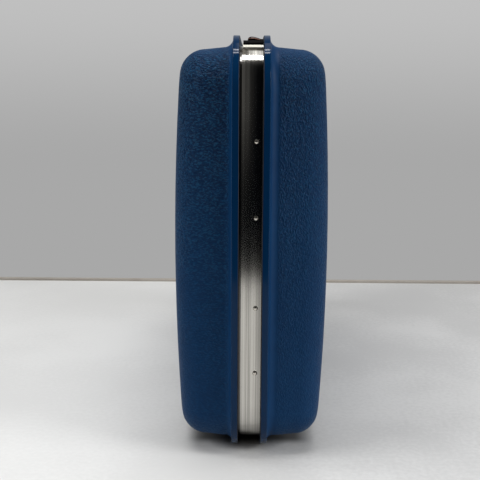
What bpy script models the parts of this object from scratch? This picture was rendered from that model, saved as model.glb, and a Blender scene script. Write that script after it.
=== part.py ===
"""A hard-shell suitcase that stands on its hinge side, as an assembly of separate pieces.

Metres, +Z up. X runs across the case, with the lid at -X and the body at +X, and Y runs along its
length. The origin is the middle of the footprint, on the surface that the lips stand on.

An outline here is the rounded rectangle that the lips' tips draw in the YZ plane. An inset is a
distance inwards from it, so every ring-shaped piece is a section that is carried round the outline.
"""

import math

import bmesh
import bpy
from mathutils import Matrix, Vector

for old_object in list(bpy.data.objects):
    bpy.data.objects.remove(old_object, do_unlink=True)


# Whole case
CASE_LENGTH = 0.660
CASE_HEIGHT = 0.500
BODY_DEPTH = 0.0968
LID_DEPTH = 0.0948
END_CROWN = 0.006
EDGE_CROWN = 0.009
SEAT_GAP = 0.0003

# Lips, the raised rims of both shells
LIP_GAP = 0.0276
LIP_THICKNESS = 0.0076
LIP_HEIGHT = 0.0140
LIP_CORNER_RADIUS = 0.064
LIP_TIP_RADIUS = 0.0016
LIP_FILLET = 0.009

# Shell walls
WALL = 0.003
WALL_DRAW_IN = 0.0022
WALL_CORNER_RADIUS = 0.052
EDGE_RADIUS = 0.028
LINING = 0.0008

# Band on the body, and the neck of the body shell that it is riveted to
BAND_INSET = 0.0100
BAND_THICKNESS = 0.0012
BAND_BEAD = 0.0003
BAND_BEAD_WIDTH = 0.0012
BAND_OPEN_GAP = 0.0031
BAND_SEAM = 0.0005
NECK_END_X = 0.0005
NECK_THICKNESS = 0.003
SPLICE_LENGTH = 0.044
SPLICE_THICKNESS = 0.0008

# Tongue frame of the lid
TONGUE_END_X = -0.0020
TONGUE_CLEARANCE = 0.0011
FRAME_THICKNESS = 0.0012
FRAME_FLANGE = 0.0074

# Rivets
RIVET_LINE_X = 0.0064
RIVET_HEAD_RADIUS = 0.0028
RIVET_HEAD_HEIGHT = 0.0014
RIVET_SHANK_RADIUS = 0.0013
RIVET_TAIL_RADIUS = 0.0021
RIVET_TAIL_HEIGHT = 0.0009
RIVET_DOME_SHARES = (0.62, 0.8)
END_RIVET_HEIGHT_SHARES = (0.762, 0.587, 0.373, 0.214)

# Hinges
HINGE_END_DISTANCE = 0.130
HINGE_LENGTH = 0.060
HINGE_AXIS_Z = 0.0040
BARREL_RADIUS = 0.0022
BARREL_CLEARANCE = 0.0004
HINGE_PIN_RADIUS = 0.0009
PIN_CLEARANCE = 0.0002
HINGE_PIN_HEAD_RADIUS = 0.0015
HINGE_PIN_HEAD = 0.0008
LEAF_THICKNESS = 0.0010
LEAF_WIDTH = 0.0212
LEAF_HEAD_RADIUS = 0.0022
LEAF_HEAD_HEIGHT = 0.0005
LEAF_HEAD_SHARE = 0.65
LID_KNUCKLE_SHARE = 0.4

# Latches
LATCH_CORNER_MARGIN = 0.009
LATCH_LENGTH = 0.070
LATCH_LEFT_MARGIN = 0.0009
LATCH_FOOT_HEIGHT = 0.0013
LATCH_FOOT_WIDTH = 0.0025
LATCH_BASE_HEIGHT = 0.0037
LATCH_END_TURN = math.radians(20)
LEVER_LENGTH = 0.036
LEVER_GAP = 0.0004
LEVER_LEFT_MARGIN = 0.0049
LEVER_BARREL_RADIUS = 0.0016
LEVER_JOIN_ANGLE = 80
LEVER_PIN_RADIUS = 0.0006
LEVER_LUG = 0.0025
BUTTON_WIDTH = 0.012
BUTTON_LENGTH = 0.008
BUTTON_THICKNESS = 0.0022
BUTTON_STEM_WIDTH = 0.004
BUTTON_STEM_LENGTH = 0.004
BUTTON_TRAVEL = 0.0035
BUTTON_BEVEL_SHARE = 0.3
LOCK_RADIUS = 0.0040
LOCK_RIM = 0.0008
LOCK_RIM_HEIGHT = 0.0010
KEYWAY_LENGTH = 0.0050
KEYWAY_WIDTH = 0.0009
KEYWAY_DEPTH = 0.0018
LATCH_ROW_GAP = 0.0012
LEVER_TOP_SHARES = ((0, 0.24), (0.07, 0.5), (0.20, 0.82), (0.40, 0.93), (0.62, 0.76), (0.82, 0.53))
STRIKE_LENGTH = 0.030
STRIKE_THICKNESS = 0.0015
STRIKE_MARGIN = 0.0010
STRIKE_SLOT_WIDTH = 0.0045
STRIKE_SLOT_LENGTH = 0.012

# Handle
HANDLE_PLACE = 0.085
HANDLE_WIDTH = 0.017
HANDLE_FLUSH_MARGIN = 0.0003
GRIP_THICKNESS = 0.0044
GRIP_SAG = 0.0004
CAP_LENGTH = 0.028
CAP_SEAT = 0.0006
CAP_BEVEL = 0.0018
PLATE_THICKNESS = 0.0010
PLATE_MARGIN = 0.0015
POST_THICKNESS = 0.0022
POST_WIDTH = 0.010
POST_CLEARANCE = 0.0005
FOOT_OVERHANG = 0.003
FOOT_THICKNESS = 0.002
HANDLE_TRAVEL = 0.022
GUIDE_WALL = 0.0012

# Packing straps
STRAP_PLACE = 0.120
STRAP_WIDTH = 0.025
STRAP_THICKNESS = 0.0015
STRAP_CLEARANCE = 0.0007
STRAP_REACH = 0.175
ANCHOR_LENGTH = 0.016
ANCHOR_WIDTH = 0.034
ANCHOR_THICKNESS = 0.0020
BUCKLE_LENGTH = 0.048
BUCKLE_WIDTH = 0.034
BUCKLE_THICKNESS = 0.007
BUCKLE_BEVEL = 0.0004

# How finely curves are divided
CORNER_STEPS = 6
END_STEPS = 6
LONG_STEPS = 8
EDGE_STEPS = 4
FILLET_STEPS = 3
TIP_STEPS = 2
INNER_STEPS = 3
LATCH_END_STEPS = 4
RIVET_SIDES = 8
HOLE_SIDES = 8
BARREL_SIDES = 16
STRAP_STEPS = 8
GRIP_STEPS = 6
GRIP_SIDES = 12
GRIP_SQUARENESS = 0.6
FACE_RING_SHARES = (0.72, 0.40)
CENTRE_RADIUS_SHARE = 0.08
CUT_OVERRUN = 0.002
SMOOTH_ANGLE = math.radians(40)

# Places that follow from the sizes above
MIDDLE_Z = CASE_HEIGHT / 2
LIP_IN_X = LIP_GAP / 2
LIP_OUT_X = LIP_IN_X + LIP_THICKNESS
BAND_LEFT_X = -(LIP_IN_X - BAND_OPEN_GAP)
BAND_RIGHT_X = LIP_IN_X - SEAT_GAP
BAND_OUTER_INSET = BAND_INSET - BAND_BEAD
BAND_INNER_INSET = BAND_INSET + BAND_THICKNESS
NECK_INSET = BAND_INNER_INSET + SEAT_GAP
NECK_INNER_INSET = NECK_INSET + NECK_THICKNESS
TONGUE_INSET = BAND_INNER_INSET + TONGUE_CLEARANCE
BAND_TOP_Z = CASE_HEIGHT - BAND_OUTER_INSET
HINGE_AXIS_X = -(LIP_IN_X - BARREL_CLEARANCE - BARREL_RADIUS)
HINGE_PLACE = CASE_LENGTH / 2 - HINGE_END_DISTANCE
LATCH_END = CASE_LENGTH / 2 - LIP_CORNER_RADIUS - LATCH_CORNER_MARGIN
HANDLE_END = HANDLE_PLACE + CAP_LENGTH / 2 + PLATE_MARGIN
TOP_RIVET_PLACE = (LATCH_END - LATCH_LENGTH + HANDLE_END) / 2

ENDS = (("near", -1), ("far", 1))


def colour(red, green, blue):
    """A colour given as it looks on a screen, 0 to 255, as the linear values a shader takes."""
    linear = []
    for channel in (red, green, blue):
        share = channel / 255
        linear.append(share / 12.92 if share <= 0.04045 else ((share + 0.055) / 1.055) ** 2.4)
    return (*linear, 1)


def material(name, rgb, roughness, metallic=0):
    """A plain finish for one kind of piece."""
    finish = bpy.data.materials.new(name)
    finish.use_nodes = True
    shader = finish.node_tree.nodes["Principled BSDF"]
    shader.inputs["Base Color"].default_value = colour(*rgb)
    shader.inputs["Roughness"].default_value = roughness
    shader.inputs["Metallic"].default_value = metallic
    return finish


BLUE_SHELL = material("blue_shell", (30, 54, 80), 0.45)
BRUSHED_BAND = material("brushed_band", (160, 158, 155), 0.35, 1)
FRAME_METAL = material("frame_metal", (150, 150, 150), 0.4, 1)
RIVET_METAL = material("rivet_metal", (190, 190, 188), 0.25, 1)
HINGE_METAL = material("hinge_metal", (170, 168, 164), 0.3, 1)
LATCH_PLASTIC = material("latch_plastic", (14, 14, 15), 0.5)
LEVER_METAL = material("lever_metal", (104, 86, 72), 0.22, 1)
LOCK_METAL = material("lock_metal", (196, 196, 194), 0.2, 1)
HANDLE_METAL = material("handle_metal", (188, 188, 186), 0.2, 1)
HANDLE_PADDING = material("handle_padding", (20, 21, 23), 0.6)
GUIDE_PLASTIC = material("guide_plastic", (30, 31, 33), 0.55)
LINING_CLOTH = material("lining_cloth", (74, 86, 104), 0.9)
STRAP_WEBBING = material("strap_webbing", (34, 44, 62), 0.85)
BUCKLE_PLASTIC = material("buckle_plastic", (24, 26, 30), 0.45)


def finish_object(name, mesh, finish, origin=(0, 0, 0), smooth=False):
    """Turn a bmesh drawn in world places into an object whose origin lies at the given place."""
    bmesh.ops.recalc_face_normals(mesh, faces=mesh.faces)
    bmesh.ops.translate(mesh, vec=-Vector(origin), verts=mesh.verts)
    data = bpy.data.meshes.new(name)
    mesh.to_mesh(data)
    mesh.free()
    data.materials.append(finish)
    if smooth:
        data.shade_smooth()
        data.set_sharp_from_angle(angle=SMOOTH_ANGLE)
    piece = bpy.data.objects.new(name, data)
    piece.location = origin
    bpy.context.collection.objects.link(piece)
    return piece


def outline(inset, corner_radius):
    """Points (y, z) at an inset, with the corner radius that they would have at no inset."""
    half_y = CASE_LENGTH / 2 - inset
    half_z = CASE_HEIGHT / 2 - inset
    radius = max(corner_radius - inset, CENTRE_RADIUS_SHARE * half_z)
    corners = []
    for quarter, (side_y, side_z) in enumerate(((1, 1), (-1, 1), (-1, -1), (1, -1))):
        centre = Vector((side_y * (half_y - radius), MIDDLE_Z + side_z * (half_z - radius)))
        corner = []
        for step in range(CORNER_STEPS + 1):
            angle = math.pi / 2 * (quarter + step / CORNER_STEPS)
            corner.append(centre + radius * Vector((math.cos(angle), math.sin(angle))))
        corners.append(corner)
    points = []
    for quarter, corner in enumerate(corners):
        points += corner
        following = corners[(quarter + 1) % 4][0]
        steps = END_STEPS if quarter % 2 else LONG_STEPS
        points += [corner[-1].lerp(following, step / steps) for step in range(1, steps)]
    return points


def crown_drop(y, z):
    """How far a shell's face falls back from its crown at a place."""
    end_share = y / (CASE_LENGTH / 2 - LIP_HEIGHT)
    edge_share = (z - MIDDLE_Z) / (CASE_HEIGHT / 2 - LIP_HEIGHT)
    return END_CROWN * end_share ** 2 + EDGE_CROWN * edge_share ** 2


def ring(x, inset, crown=0, corner_radius=LIP_CORNER_RADIUS):
    """One point of a section: its place, its share of the crown, and its corners' radius."""
    return x, inset, crown, corner_radius


def carried_round(name, section, finish, side=1, closed=True):
    """Carry a section round the outline, so that each of its points draws a ring."""
    mesh = bmesh.new()
    rings = []
    for x, inset, crown, corner_radius in section:
        places = [(side * (x - crown * crown_drop(y, z)), y, z)
                  for y, z in outline(inset, corner_radius)]
        rings.append((inset, [mesh.verts.new(place) for place in places]))
    pairs = list(zip(rings, rings[1:]))
    if closed:
        pairs.append((rings[-1], rings[0]))
    for pair in pairs:
        # patches are split from the outer ring, so that pieces that nest bend along the same lines
        outer, inner = [verts for _, verts in sorted(pair, key=lambda entry: entry[0])]
        for index, corner in enumerate(outer):
            after = (index + 1) % len(outer)
            mesh.faces.new((corner, outer[after], inner[after]))
            mesh.faces.new((corner, inner[after], inner[index]))
    if not closed:
        for (_, verts), (x, *_) in ((rings[0], section[0]), (rings[-1], section[-1])):
            middle = mesh.verts.new((side * x, 0, MIDDLE_Z))
            for index, corner in enumerate(verts):
                mesh.faces.new((corner, verts[(index + 1) % len(verts)], middle))
    return finish_object(name, mesh, finish, smooth=True)


def block(name, low, high, finish, origin=(0, 0, 0)):
    """A straight block between two corners."""
    low = Vector(low)
    high = Vector(high)
    mesh = bmesh.new()
    size = Matrix.Diagonal((*(high - low), 1))
    bmesh.ops.create_cube(mesh, size=1, matrix=Matrix.Translation((low + high) / 2) @ size)
    return finish_object(name, mesh, finish, origin)


def extruded(name, profile, low_y, high_y, finish, origin=(0, 0, 0)):
    """Extrude a closed profile of (x, z) points along the case."""
    mesh = bmesh.new()
    face = mesh.faces.new([mesh.verts.new((x, low_y, z)) for x, z in profile])
    grown = bmesh.ops.extrude_face_region(mesh, geom=[face])
    moved = [item for item in grown["geom"] if isinstance(item, bmesh.types.BMVert)]
    bmesh.ops.translate(mesh, vec=(0, high_y - low_y, 0), verts=moved)
    return finish_object(name, mesh, finish, origin)


def bent_bar(name, profile, start, end_side, finish):
    """A closed (x, z) profile drawn along the top of the case and some way down its corner."""
    corner_y = CASE_LENGTH / 2 - LIP_CORNER_RADIUS
    corner_z = CASE_HEIGHT - LIP_CORNER_RADIUS
    mesh = bmesh.new()
    rings = [[mesh.verts.new((x, end_side * start, z)) for x, z in profile]]
    for step in range(LATCH_END_STEPS + 1):
        angle = LATCH_END_TURN * step / LATCH_END_STEPS
        ring = []
        for x, z in profile:
            radius = z - corner_z
            ring.append(mesh.verts.new((x, end_side * (corner_y + radius * math.sin(angle)),
                                        corner_z + radius * math.cos(angle))))
        rings.append(ring)
    for first, second in zip(rings, rings[1:]):
        for index in range(len(profile)):
            after = (index + 1) % len(profile)
            mesh.faces.new((first[index], first[after], second[after], second[index]))
    mesh.faces.new(rings[0])
    mesh.faces.new(rings[-1])
    return finish_object(name, mesh, finish)


def turned(name, profile, place, direction, sides, finish, origin=None):
    """Turn a profile of (radius, height) points about an axis through a place."""
    mesh = bmesh.new()
    turn = Vector((0, 0, 1)).rotation_difference(Vector(direction)).to_matrix().to_4x4()
    stand = Matrix.Translation(place) @ turn
    rings = []
    for radius, height in profile:
        if radius == 0:
            rings.append([mesh.verts.new(stand @ Vector((0, 0, height)))])
            continue
        ring = []
        for side in range(sides):
            angle = math.tau * side / sides
            spot = Vector((radius * math.cos(angle), radius * math.sin(angle), height))
            ring.append(mesh.verts.new(stand @ spot))
        rings.append(ring)
    for first, second in zip(rings, rings[1:]):
        for index in range(sides):
            after = (index + 1) % sides
            if len(first) == 1:
                mesh.faces.new((first[0], second[after], second[index]))
            elif len(second) == 1:
                mesh.faces.new((first[index], first[after], second[0]))
            else:
                mesh.faces.new((first[index], first[after], second[after], second[index]))
    return finish_object(name, mesh, finish, place if origin is None else origin, smooth=True)


def rod(name, start, end, radius, sides, finish, origin=None):
    """A plain round bar between two places."""
    start = Vector(start)
    length = (Vector(end) - start).length
    profile = ((0, 0), (radius, 0), (radius, length), (0, length))
    return turned(name, profile, start, Vector(end) - start, sides, finish, origin)


def work(piece, tool, operation):
    """Cut a tool out of a piece, or join it on, and keep the tool out of sight."""
    step = piece.modifiers.new(tool.name, "BOOLEAN")
    step.operation = operation
    step.solver = "EXACT"
    step.object = tool
    tool.hide_render = True
    tool.display_type = "WIRE"


def cut(piece, *tools):
    for tool in tools:
        work(piece, tool, "DIFFERENCE")


def join(piece, *tools):
    for tool in tools:
        work(piece, tool, "UNION")


def bevel(piece, width, segments=1):
    """Break a piece's sharp edges."""
    step = piece.modifiers.new("bevel", "BEVEL")
    step.width = width
    step.segments = segments
    step.limit_method = "ANGLE"


def pivot(name, place):
    """An empty on a joint's axis, which carries the pieces that move there."""
    empty = bpy.data.objects.new(name, None)
    empty.location = place
    bpy.context.collection.objects.link(empty)
    return empty


def carry(carrier, *pieces):
    """Hang pieces on an empty without moving them."""
    for piece in pieces:
        piece.parent = carrier
        piece.location -= carrier.location


def arc(centre_x, centre_inset, radius, start, end, steps):
    """Section points on an arc, with angles in degrees from the +X way towards deeper insets."""
    points = []
    for step in range(steps + 1):
        angle = math.radians(start + (end - start) * step / steps)
        points.append((centre_x + radius * math.cos(angle), centre_inset + radius * math.sin(angle)))
    return points


def face_path(depth, offset, steps):
    """From a shell's crown round its edge to the wall, at an offset inside its outer surface."""
    points = [(depth - offset, share * MIDDLE_Z) for share in FACE_RING_SHARES]
    edge_inset = LIP_HEIGHT + WALL_DRAW_IN + EDGE_RADIUS
    points += arc(depth - EDGE_RADIUS, edge_inset, EDGE_RADIUS - offset, 0, -90, steps)
    return [ring(x, inset, 1, WALL_CORNER_RADIUS) for x, inset in points]


def lip_path():
    """From a shell's wall out over the fillet and the lip to the inner face of the lip."""
    fillet = arc(LIP_OUT_X + LIP_FILLET, LIP_HEIGHT - LIP_FILLET, LIP_FILLET, 90, 180, FILLET_STEPS)
    section = []
    for step, (x, inset) in enumerate(fillet):
        widening = (LIP_CORNER_RADIUS - WALL_CORNER_RADIUS) * step / FILLET_STEPS
        section.append(ring(x, inset, 0, WALL_CORNER_RADIUS + widening))
    tip = arc(LIP_OUT_X - LIP_TIP_RADIUS, LIP_TIP_RADIUS, LIP_TIP_RADIUS, 0, -90, TIP_STEPS)
    tip += arc(LIP_IN_X + LIP_TIP_RADIUS, LIP_TIP_RADIUS, LIP_TIP_RADIUS, -90, -180, TIP_STEPS)
    return section + [ring(x, inset) for x, inset in tip]


def shell(name, side, depth, neck):
    """One shell: crowned face, drawn-in wall, fillet and lip outside, and an even wall inside."""
    inside = [ring(LIP_OUT_X, LIP_HEIGHT + WALL)] + face_path(depth, WALL, INNER_STEPS)[::-1]
    section = face_path(depth, 0, EDGE_STEPS) + lip_path() + neck + inside
    return carried_round(name, section, BLUE_SHELL, side, closed=False)


def lining(name, side, depth):
    """A thin cloth skin over the inside of a shell."""
    backing = WALL + SEAT_GAP
    front = backing + LINING
    section = face_path(depth, backing, INNER_STEPS)
    section += [ring(LIP_OUT_X, LIP_HEIGHT + backing), ring(LIP_OUT_X, LIP_HEIGHT + front)]
    section += face_path(depth, front, INNER_STEPS)[::-1]
    return carried_round(name, section, LINING_CLOTH, side, closed=False)


# Shells
body_neck = [
    ring(LIP_IN_X, NECK_INSET),
    ring(NECK_END_X, NECK_INSET),
    ring(NECK_END_X, NECK_INNER_INSET),
    ring(LIP_IN_X, NECK_INNER_INSET),
]
body_shell = shell("body_shell", 1, BODY_DEPTH, body_neck)
lid_shell = shell("lid_shell", -1, LID_DEPTH, [ring(LIP_IN_X, LIP_HEIGHT + WALL)])
lining("body_lining", 1, BODY_DEPTH)
lid_lining = lining("lid_lining", -1, LID_DEPTH)


def make_band():
    """The bent metal strip on the body's neck, with beaded edges and a seam on the hinge side."""
    left = BAND_LEFT_X
    right = BAND_RIGHT_X
    section = [
        ring(left, BAND_INNER_INSET),
        ring(left, BAND_OUTER_INSET),
        ring(left + BAND_BEAD_WIDTH, BAND_OUTER_INSET),
        ring(left + BAND_BEAD_WIDTH, BAND_INSET),
        ring(right - BAND_BEAD_WIDTH, BAND_INSET),
        ring(right - BAND_BEAD_WIDTH, BAND_OUTER_INSET),
        ring(right, BAND_OUTER_INSET),
        ring(right, BAND_INNER_INSET),
    ]
    band = carried_round("body_band", section, BRUSHED_BAND)
    low = (left - CUT_OVERRUN, -BAND_SEAM / 2, BAND_OUTER_INSET - CUT_OVERRUN)
    high = (right + CUT_OVERRUN, BAND_SEAM / 2, BAND_INNER_INSET + CUT_OVERRUN)
    cut(band, block("band_seam_cutter", low, high, BRUSHED_BAND))
    return band


def make_tongue_frame():
    """The lid's metal frame: a flange inside the shell, a riser and a tongue under the band."""
    flange_inset = LIP_HEIGHT + WALL + SEAT_GAP
    riser_x = LIP_IN_X - SEAT_GAP
    flange_end = riser_x + FRAME_FLANGE
    tongue_end = -TONGUE_END_X
    section = [
        ring(tongue_end, TONGUE_INSET),
        ring(riser_x, TONGUE_INSET),
        ring(riser_x, flange_inset),
        ring(flange_end, flange_inset),
        ring(flange_end, flange_inset + FRAME_THICKNESS),
        ring(riser_x - FRAME_THICKNESS, flange_inset + FRAME_THICKNESS),
        ring(riser_x - FRAME_THICKNESS, TONGUE_INSET + FRAME_THICKNESS),
        ring(tongue_end, TONGUE_INSET + FRAME_THICKNESS),
    ]
    return carried_round("lid_frame", section, FRAME_METAL, side=-1)


body_band = make_band()
lid_frame = make_tongue_frame()


def make_rivet(name, place, outward):
    """A domed rivet through the band and the neck, with its tail spread on the inside."""
    seat = SEAT_GAP
    grip = BAND_THICKNESS + SEAT_GAP + NECK_THICKNESS + SEAT_GAP
    dome_radius, dome_height = RIVET_DOME_SHARES
    profile = (
        (0, seat + RIVET_HEAD_HEIGHT),
        (RIVET_HEAD_RADIUS * dome_radius, seat + RIVET_HEAD_HEIGHT * dome_height),
        (RIVET_HEAD_RADIUS, seat),
        (RIVET_SHANK_RADIUS, seat),
        (RIVET_SHANK_RADIUS, -grip),
        (RIVET_TAIL_RADIUS, -grip),
        (RIVET_TAIL_RADIUS, -grip - RIVET_TAIL_HEIGHT),
        (0, -grip - RIVET_TAIL_HEIGHT),
    )
    turned(name, profile, place, outward, RIVET_SIDES, RIVET_METAL)
    start = Vector(place) + Vector(outward) * CUT_OVERRUN
    end = Vector(place) - Vector(outward) * (grip + CUT_OVERRUN)
    hole = RIVET_SHANK_RADIUS + SEAT_GAP
    for piece in (body_band, body_shell):
        cut(piece, rod(f"{name}_{piece.name}_cutter", start, end, hole, HOLE_SIDES, RIVET_METAL))


for end_name, end_side in ENDS:
    for number, height_share in enumerate(END_RIVET_HEIGHT_SHARES, 1):
        end_y = end_side * (CASE_LENGTH / 2 - BAND_INSET)
        spot = (RIVET_LINE_X, end_y, height_share * CASE_HEIGHT)
        make_rivet(f"{end_name}_end_rivet_{number}", spot, (0, end_side, 0))
    spot = (RIVET_LINE_X, end_side * TOP_RIVET_PLACE, CASE_HEIGHT - BAND_INSET)
    make_rivet(f"top_rivet_{end_name}", spot, (0, 0, 1))


def barrel_profile(x, z, radius, web_side, web, web_end):
    """A knuckle seen end on: a round barrel with a flat web rising from one side of it."""
    lean = math.acos((radius - web) / radius)
    steps = BARREL_SIDES - 2
    points = [(x + web_side * radius, web_end)]
    for step in range(steps + 1):
        angle = (math.tau - lean) * step / steps
        points.append((x + web_side * radius * math.cos(angle), z - radius * math.sin(angle)))
    points.append((x + web_side * (radius - web), web_end))
    return points


def make_hinge(end_name, end_side):
    """One hinge: a leaf on each half, with three knuckles between them on a headed pin."""
    middle = end_side * HINGE_PLACE
    half = HINGE_LENGTH / 2
    lid_half = half * LID_KNUCKLE_SHARE
    bore_start = (HINGE_AXIS_X, middle - half - CUT_OVERRUN, HINGE_AXIS_Z)
    bore_end = (HINGE_AXIS_X, middle + half + CUT_OVERRUN, HINGE_AXIS_Z)
    bore = rod(f"hinge_bore_{end_name}_cutter", bore_start, bore_end,
               HINGE_PIN_RADIUS + PIN_CLEARANCE, BARREL_SIDES, HINGE_METAL)

    # the body's leaf lies on the band, and its two outer knuckles reach down to the pin
    top = BAND_OUTER_INSET - SEAT_GAP
    bottom = top - LEAF_THICKNESS
    left = HINGE_AXIS_X + BARREL_RADIUS - LEAF_THICKNESS
    body_leaf = block(f"hinge_body_leaf_{end_name}", (left, middle - half, bottom),
                      (left + LEAF_WIDTH, middle + half, top), HINGE_METAL)
    profile = barrel_profile(HINGE_AXIS_X, HINGE_AXIS_Z, BARREL_RADIUS, 1, LEAF_THICKNESS,
                             (top + bottom) / 2)
    for side in (-1, 1):
        inner = middle + side * (lid_half + SEAT_GAP)
        outer = middle + side * half
        knuckle = extruded(f"{body_leaf.name}_knuckle_{side}", profile, min(inner, outer),
                           max(inner, outer), HINGE_METAL)
        spot = Vector((RIVET_LINE_X, middle + side * half * LEAF_HEAD_SHARE, top))
        head = rod(f"{body_leaf.name}_head_{side}", spot - Vector((0, 0, LEAF_THICKNESS / 2)),
                   spot - Vector((0, 0, LEAF_THICKNESS + LEAF_HEAD_HEIGHT)),
                   LEAF_HEAD_RADIUS, BARREL_SIDES, HINGE_METAL)
        join(body_leaf, knuckle, head)
    cut(body_leaf, bore)

    # the lid's leaf lies on the inner face of the lid's lip, over the middle knuckle
    back = -(LIP_IN_X - SEAT_GAP)
    front = back + LEAF_THICKNESS
    low = HINGE_AXIS_Z + BARREL_RADIUS + SEAT_GAP
    high = TONGUE_INSET - SEAT_GAP
    axis_place = (HINGE_AXIS_X, 0, HINGE_AXIS_Z)
    lid_leaf = block(f"hinge_lid_leaf_{end_name}", (back, middle - half, low),
                     (front, middle + half, high), HINGE_METAL, axis_place)
    profile = barrel_profile(HINGE_AXIS_X, HINGE_AXIS_Z, BARREL_RADIUS, -1, LEAF_THICKNESS,
                             (low + high) / 2)
    knuckle = extruded(f"{lid_leaf.name}_knuckle", profile, middle - lid_half, middle + lid_half,
                       HINGE_METAL)
    join(lid_leaf, knuckle)
    for side in (-1, 1):
        spot = Vector((back, middle + side * half * LEAF_HEAD_SHARE, (low + high) / 2))
        head = rod(f"{lid_leaf.name}_head_{side}", spot + Vector((LEAF_THICKNESS / 2, 0, 0)),
                   spot + Vector((LEAF_THICKNESS + LEAF_HEAD_HEIGHT, 0, 0)),
                   LEAF_HEAD_RADIUS, BARREL_SIDES, HINGE_METAL)
        join(lid_leaf, head)
    cut(lid_leaf, bore)
    carry(lid_axis, lid_leaf)

    pin_profile = (
        (0, 0),
        (HINGE_PIN_HEAD_RADIUS, 0),
        (HINGE_PIN_HEAD_RADIUS, HINGE_PIN_HEAD),
        (HINGE_PIN_RADIUS, HINGE_PIN_HEAD),
        (HINGE_PIN_RADIUS, HINGE_PIN_HEAD + SEAT_GAP + HINGE_LENGTH),
        (0, HINGE_PIN_HEAD + SEAT_GAP + HINGE_LENGTH),
    )
    start = (HINGE_AXIS_X, middle - half - SEAT_GAP - HINGE_PIN_HEAD, HINGE_AXIS_Z)
    turned(f"hinge_pin_{end_name}", pin_profile, start, (0, 1, 0), BARREL_SIDES, HINGE_METAL)


lid_axis = pivot("lid_axis", (HINGE_AXIS_X, 0, HINGE_AXIS_Z))
carry(lid_axis, lid_shell, lid_lining, lid_frame)
for end_name, end_side in ENDS:
    make_hinge(end_name, end_side)


def make_splice():
    """The plate that covers the band's seam, with a formed rivet head either side of the seam."""
    top = BAND_OUTER_INSET - SEAT_GAP
    bottom = top - SPLICE_THICKNESS
    half = SPLICE_LENGTH / 2
    edge = BAND_BEAD_WIDTH
    plate = block("band_splice", (BAND_LEFT_X + edge, -half, bottom),
                  (BAND_RIGHT_X - edge, half, top), BRUSHED_BAND)
    for side in (-1, 1):
        spot = Vector((RIVET_LINE_X, side * half * LEAF_HEAD_SHARE, top))
        head = rod(f"band_splice_head_{side}", spot - Vector((0, 0, SPLICE_THICKNESS / 2)),
                   spot - Vector((0, 0, SPLICE_THICKNESS + LEAF_HEAD_HEIGHT)),
                   LEAF_HEAD_RADIUS, BARREL_SIDES, BRUSHED_BAND)
        join(plate, head)


make_splice()


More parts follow.
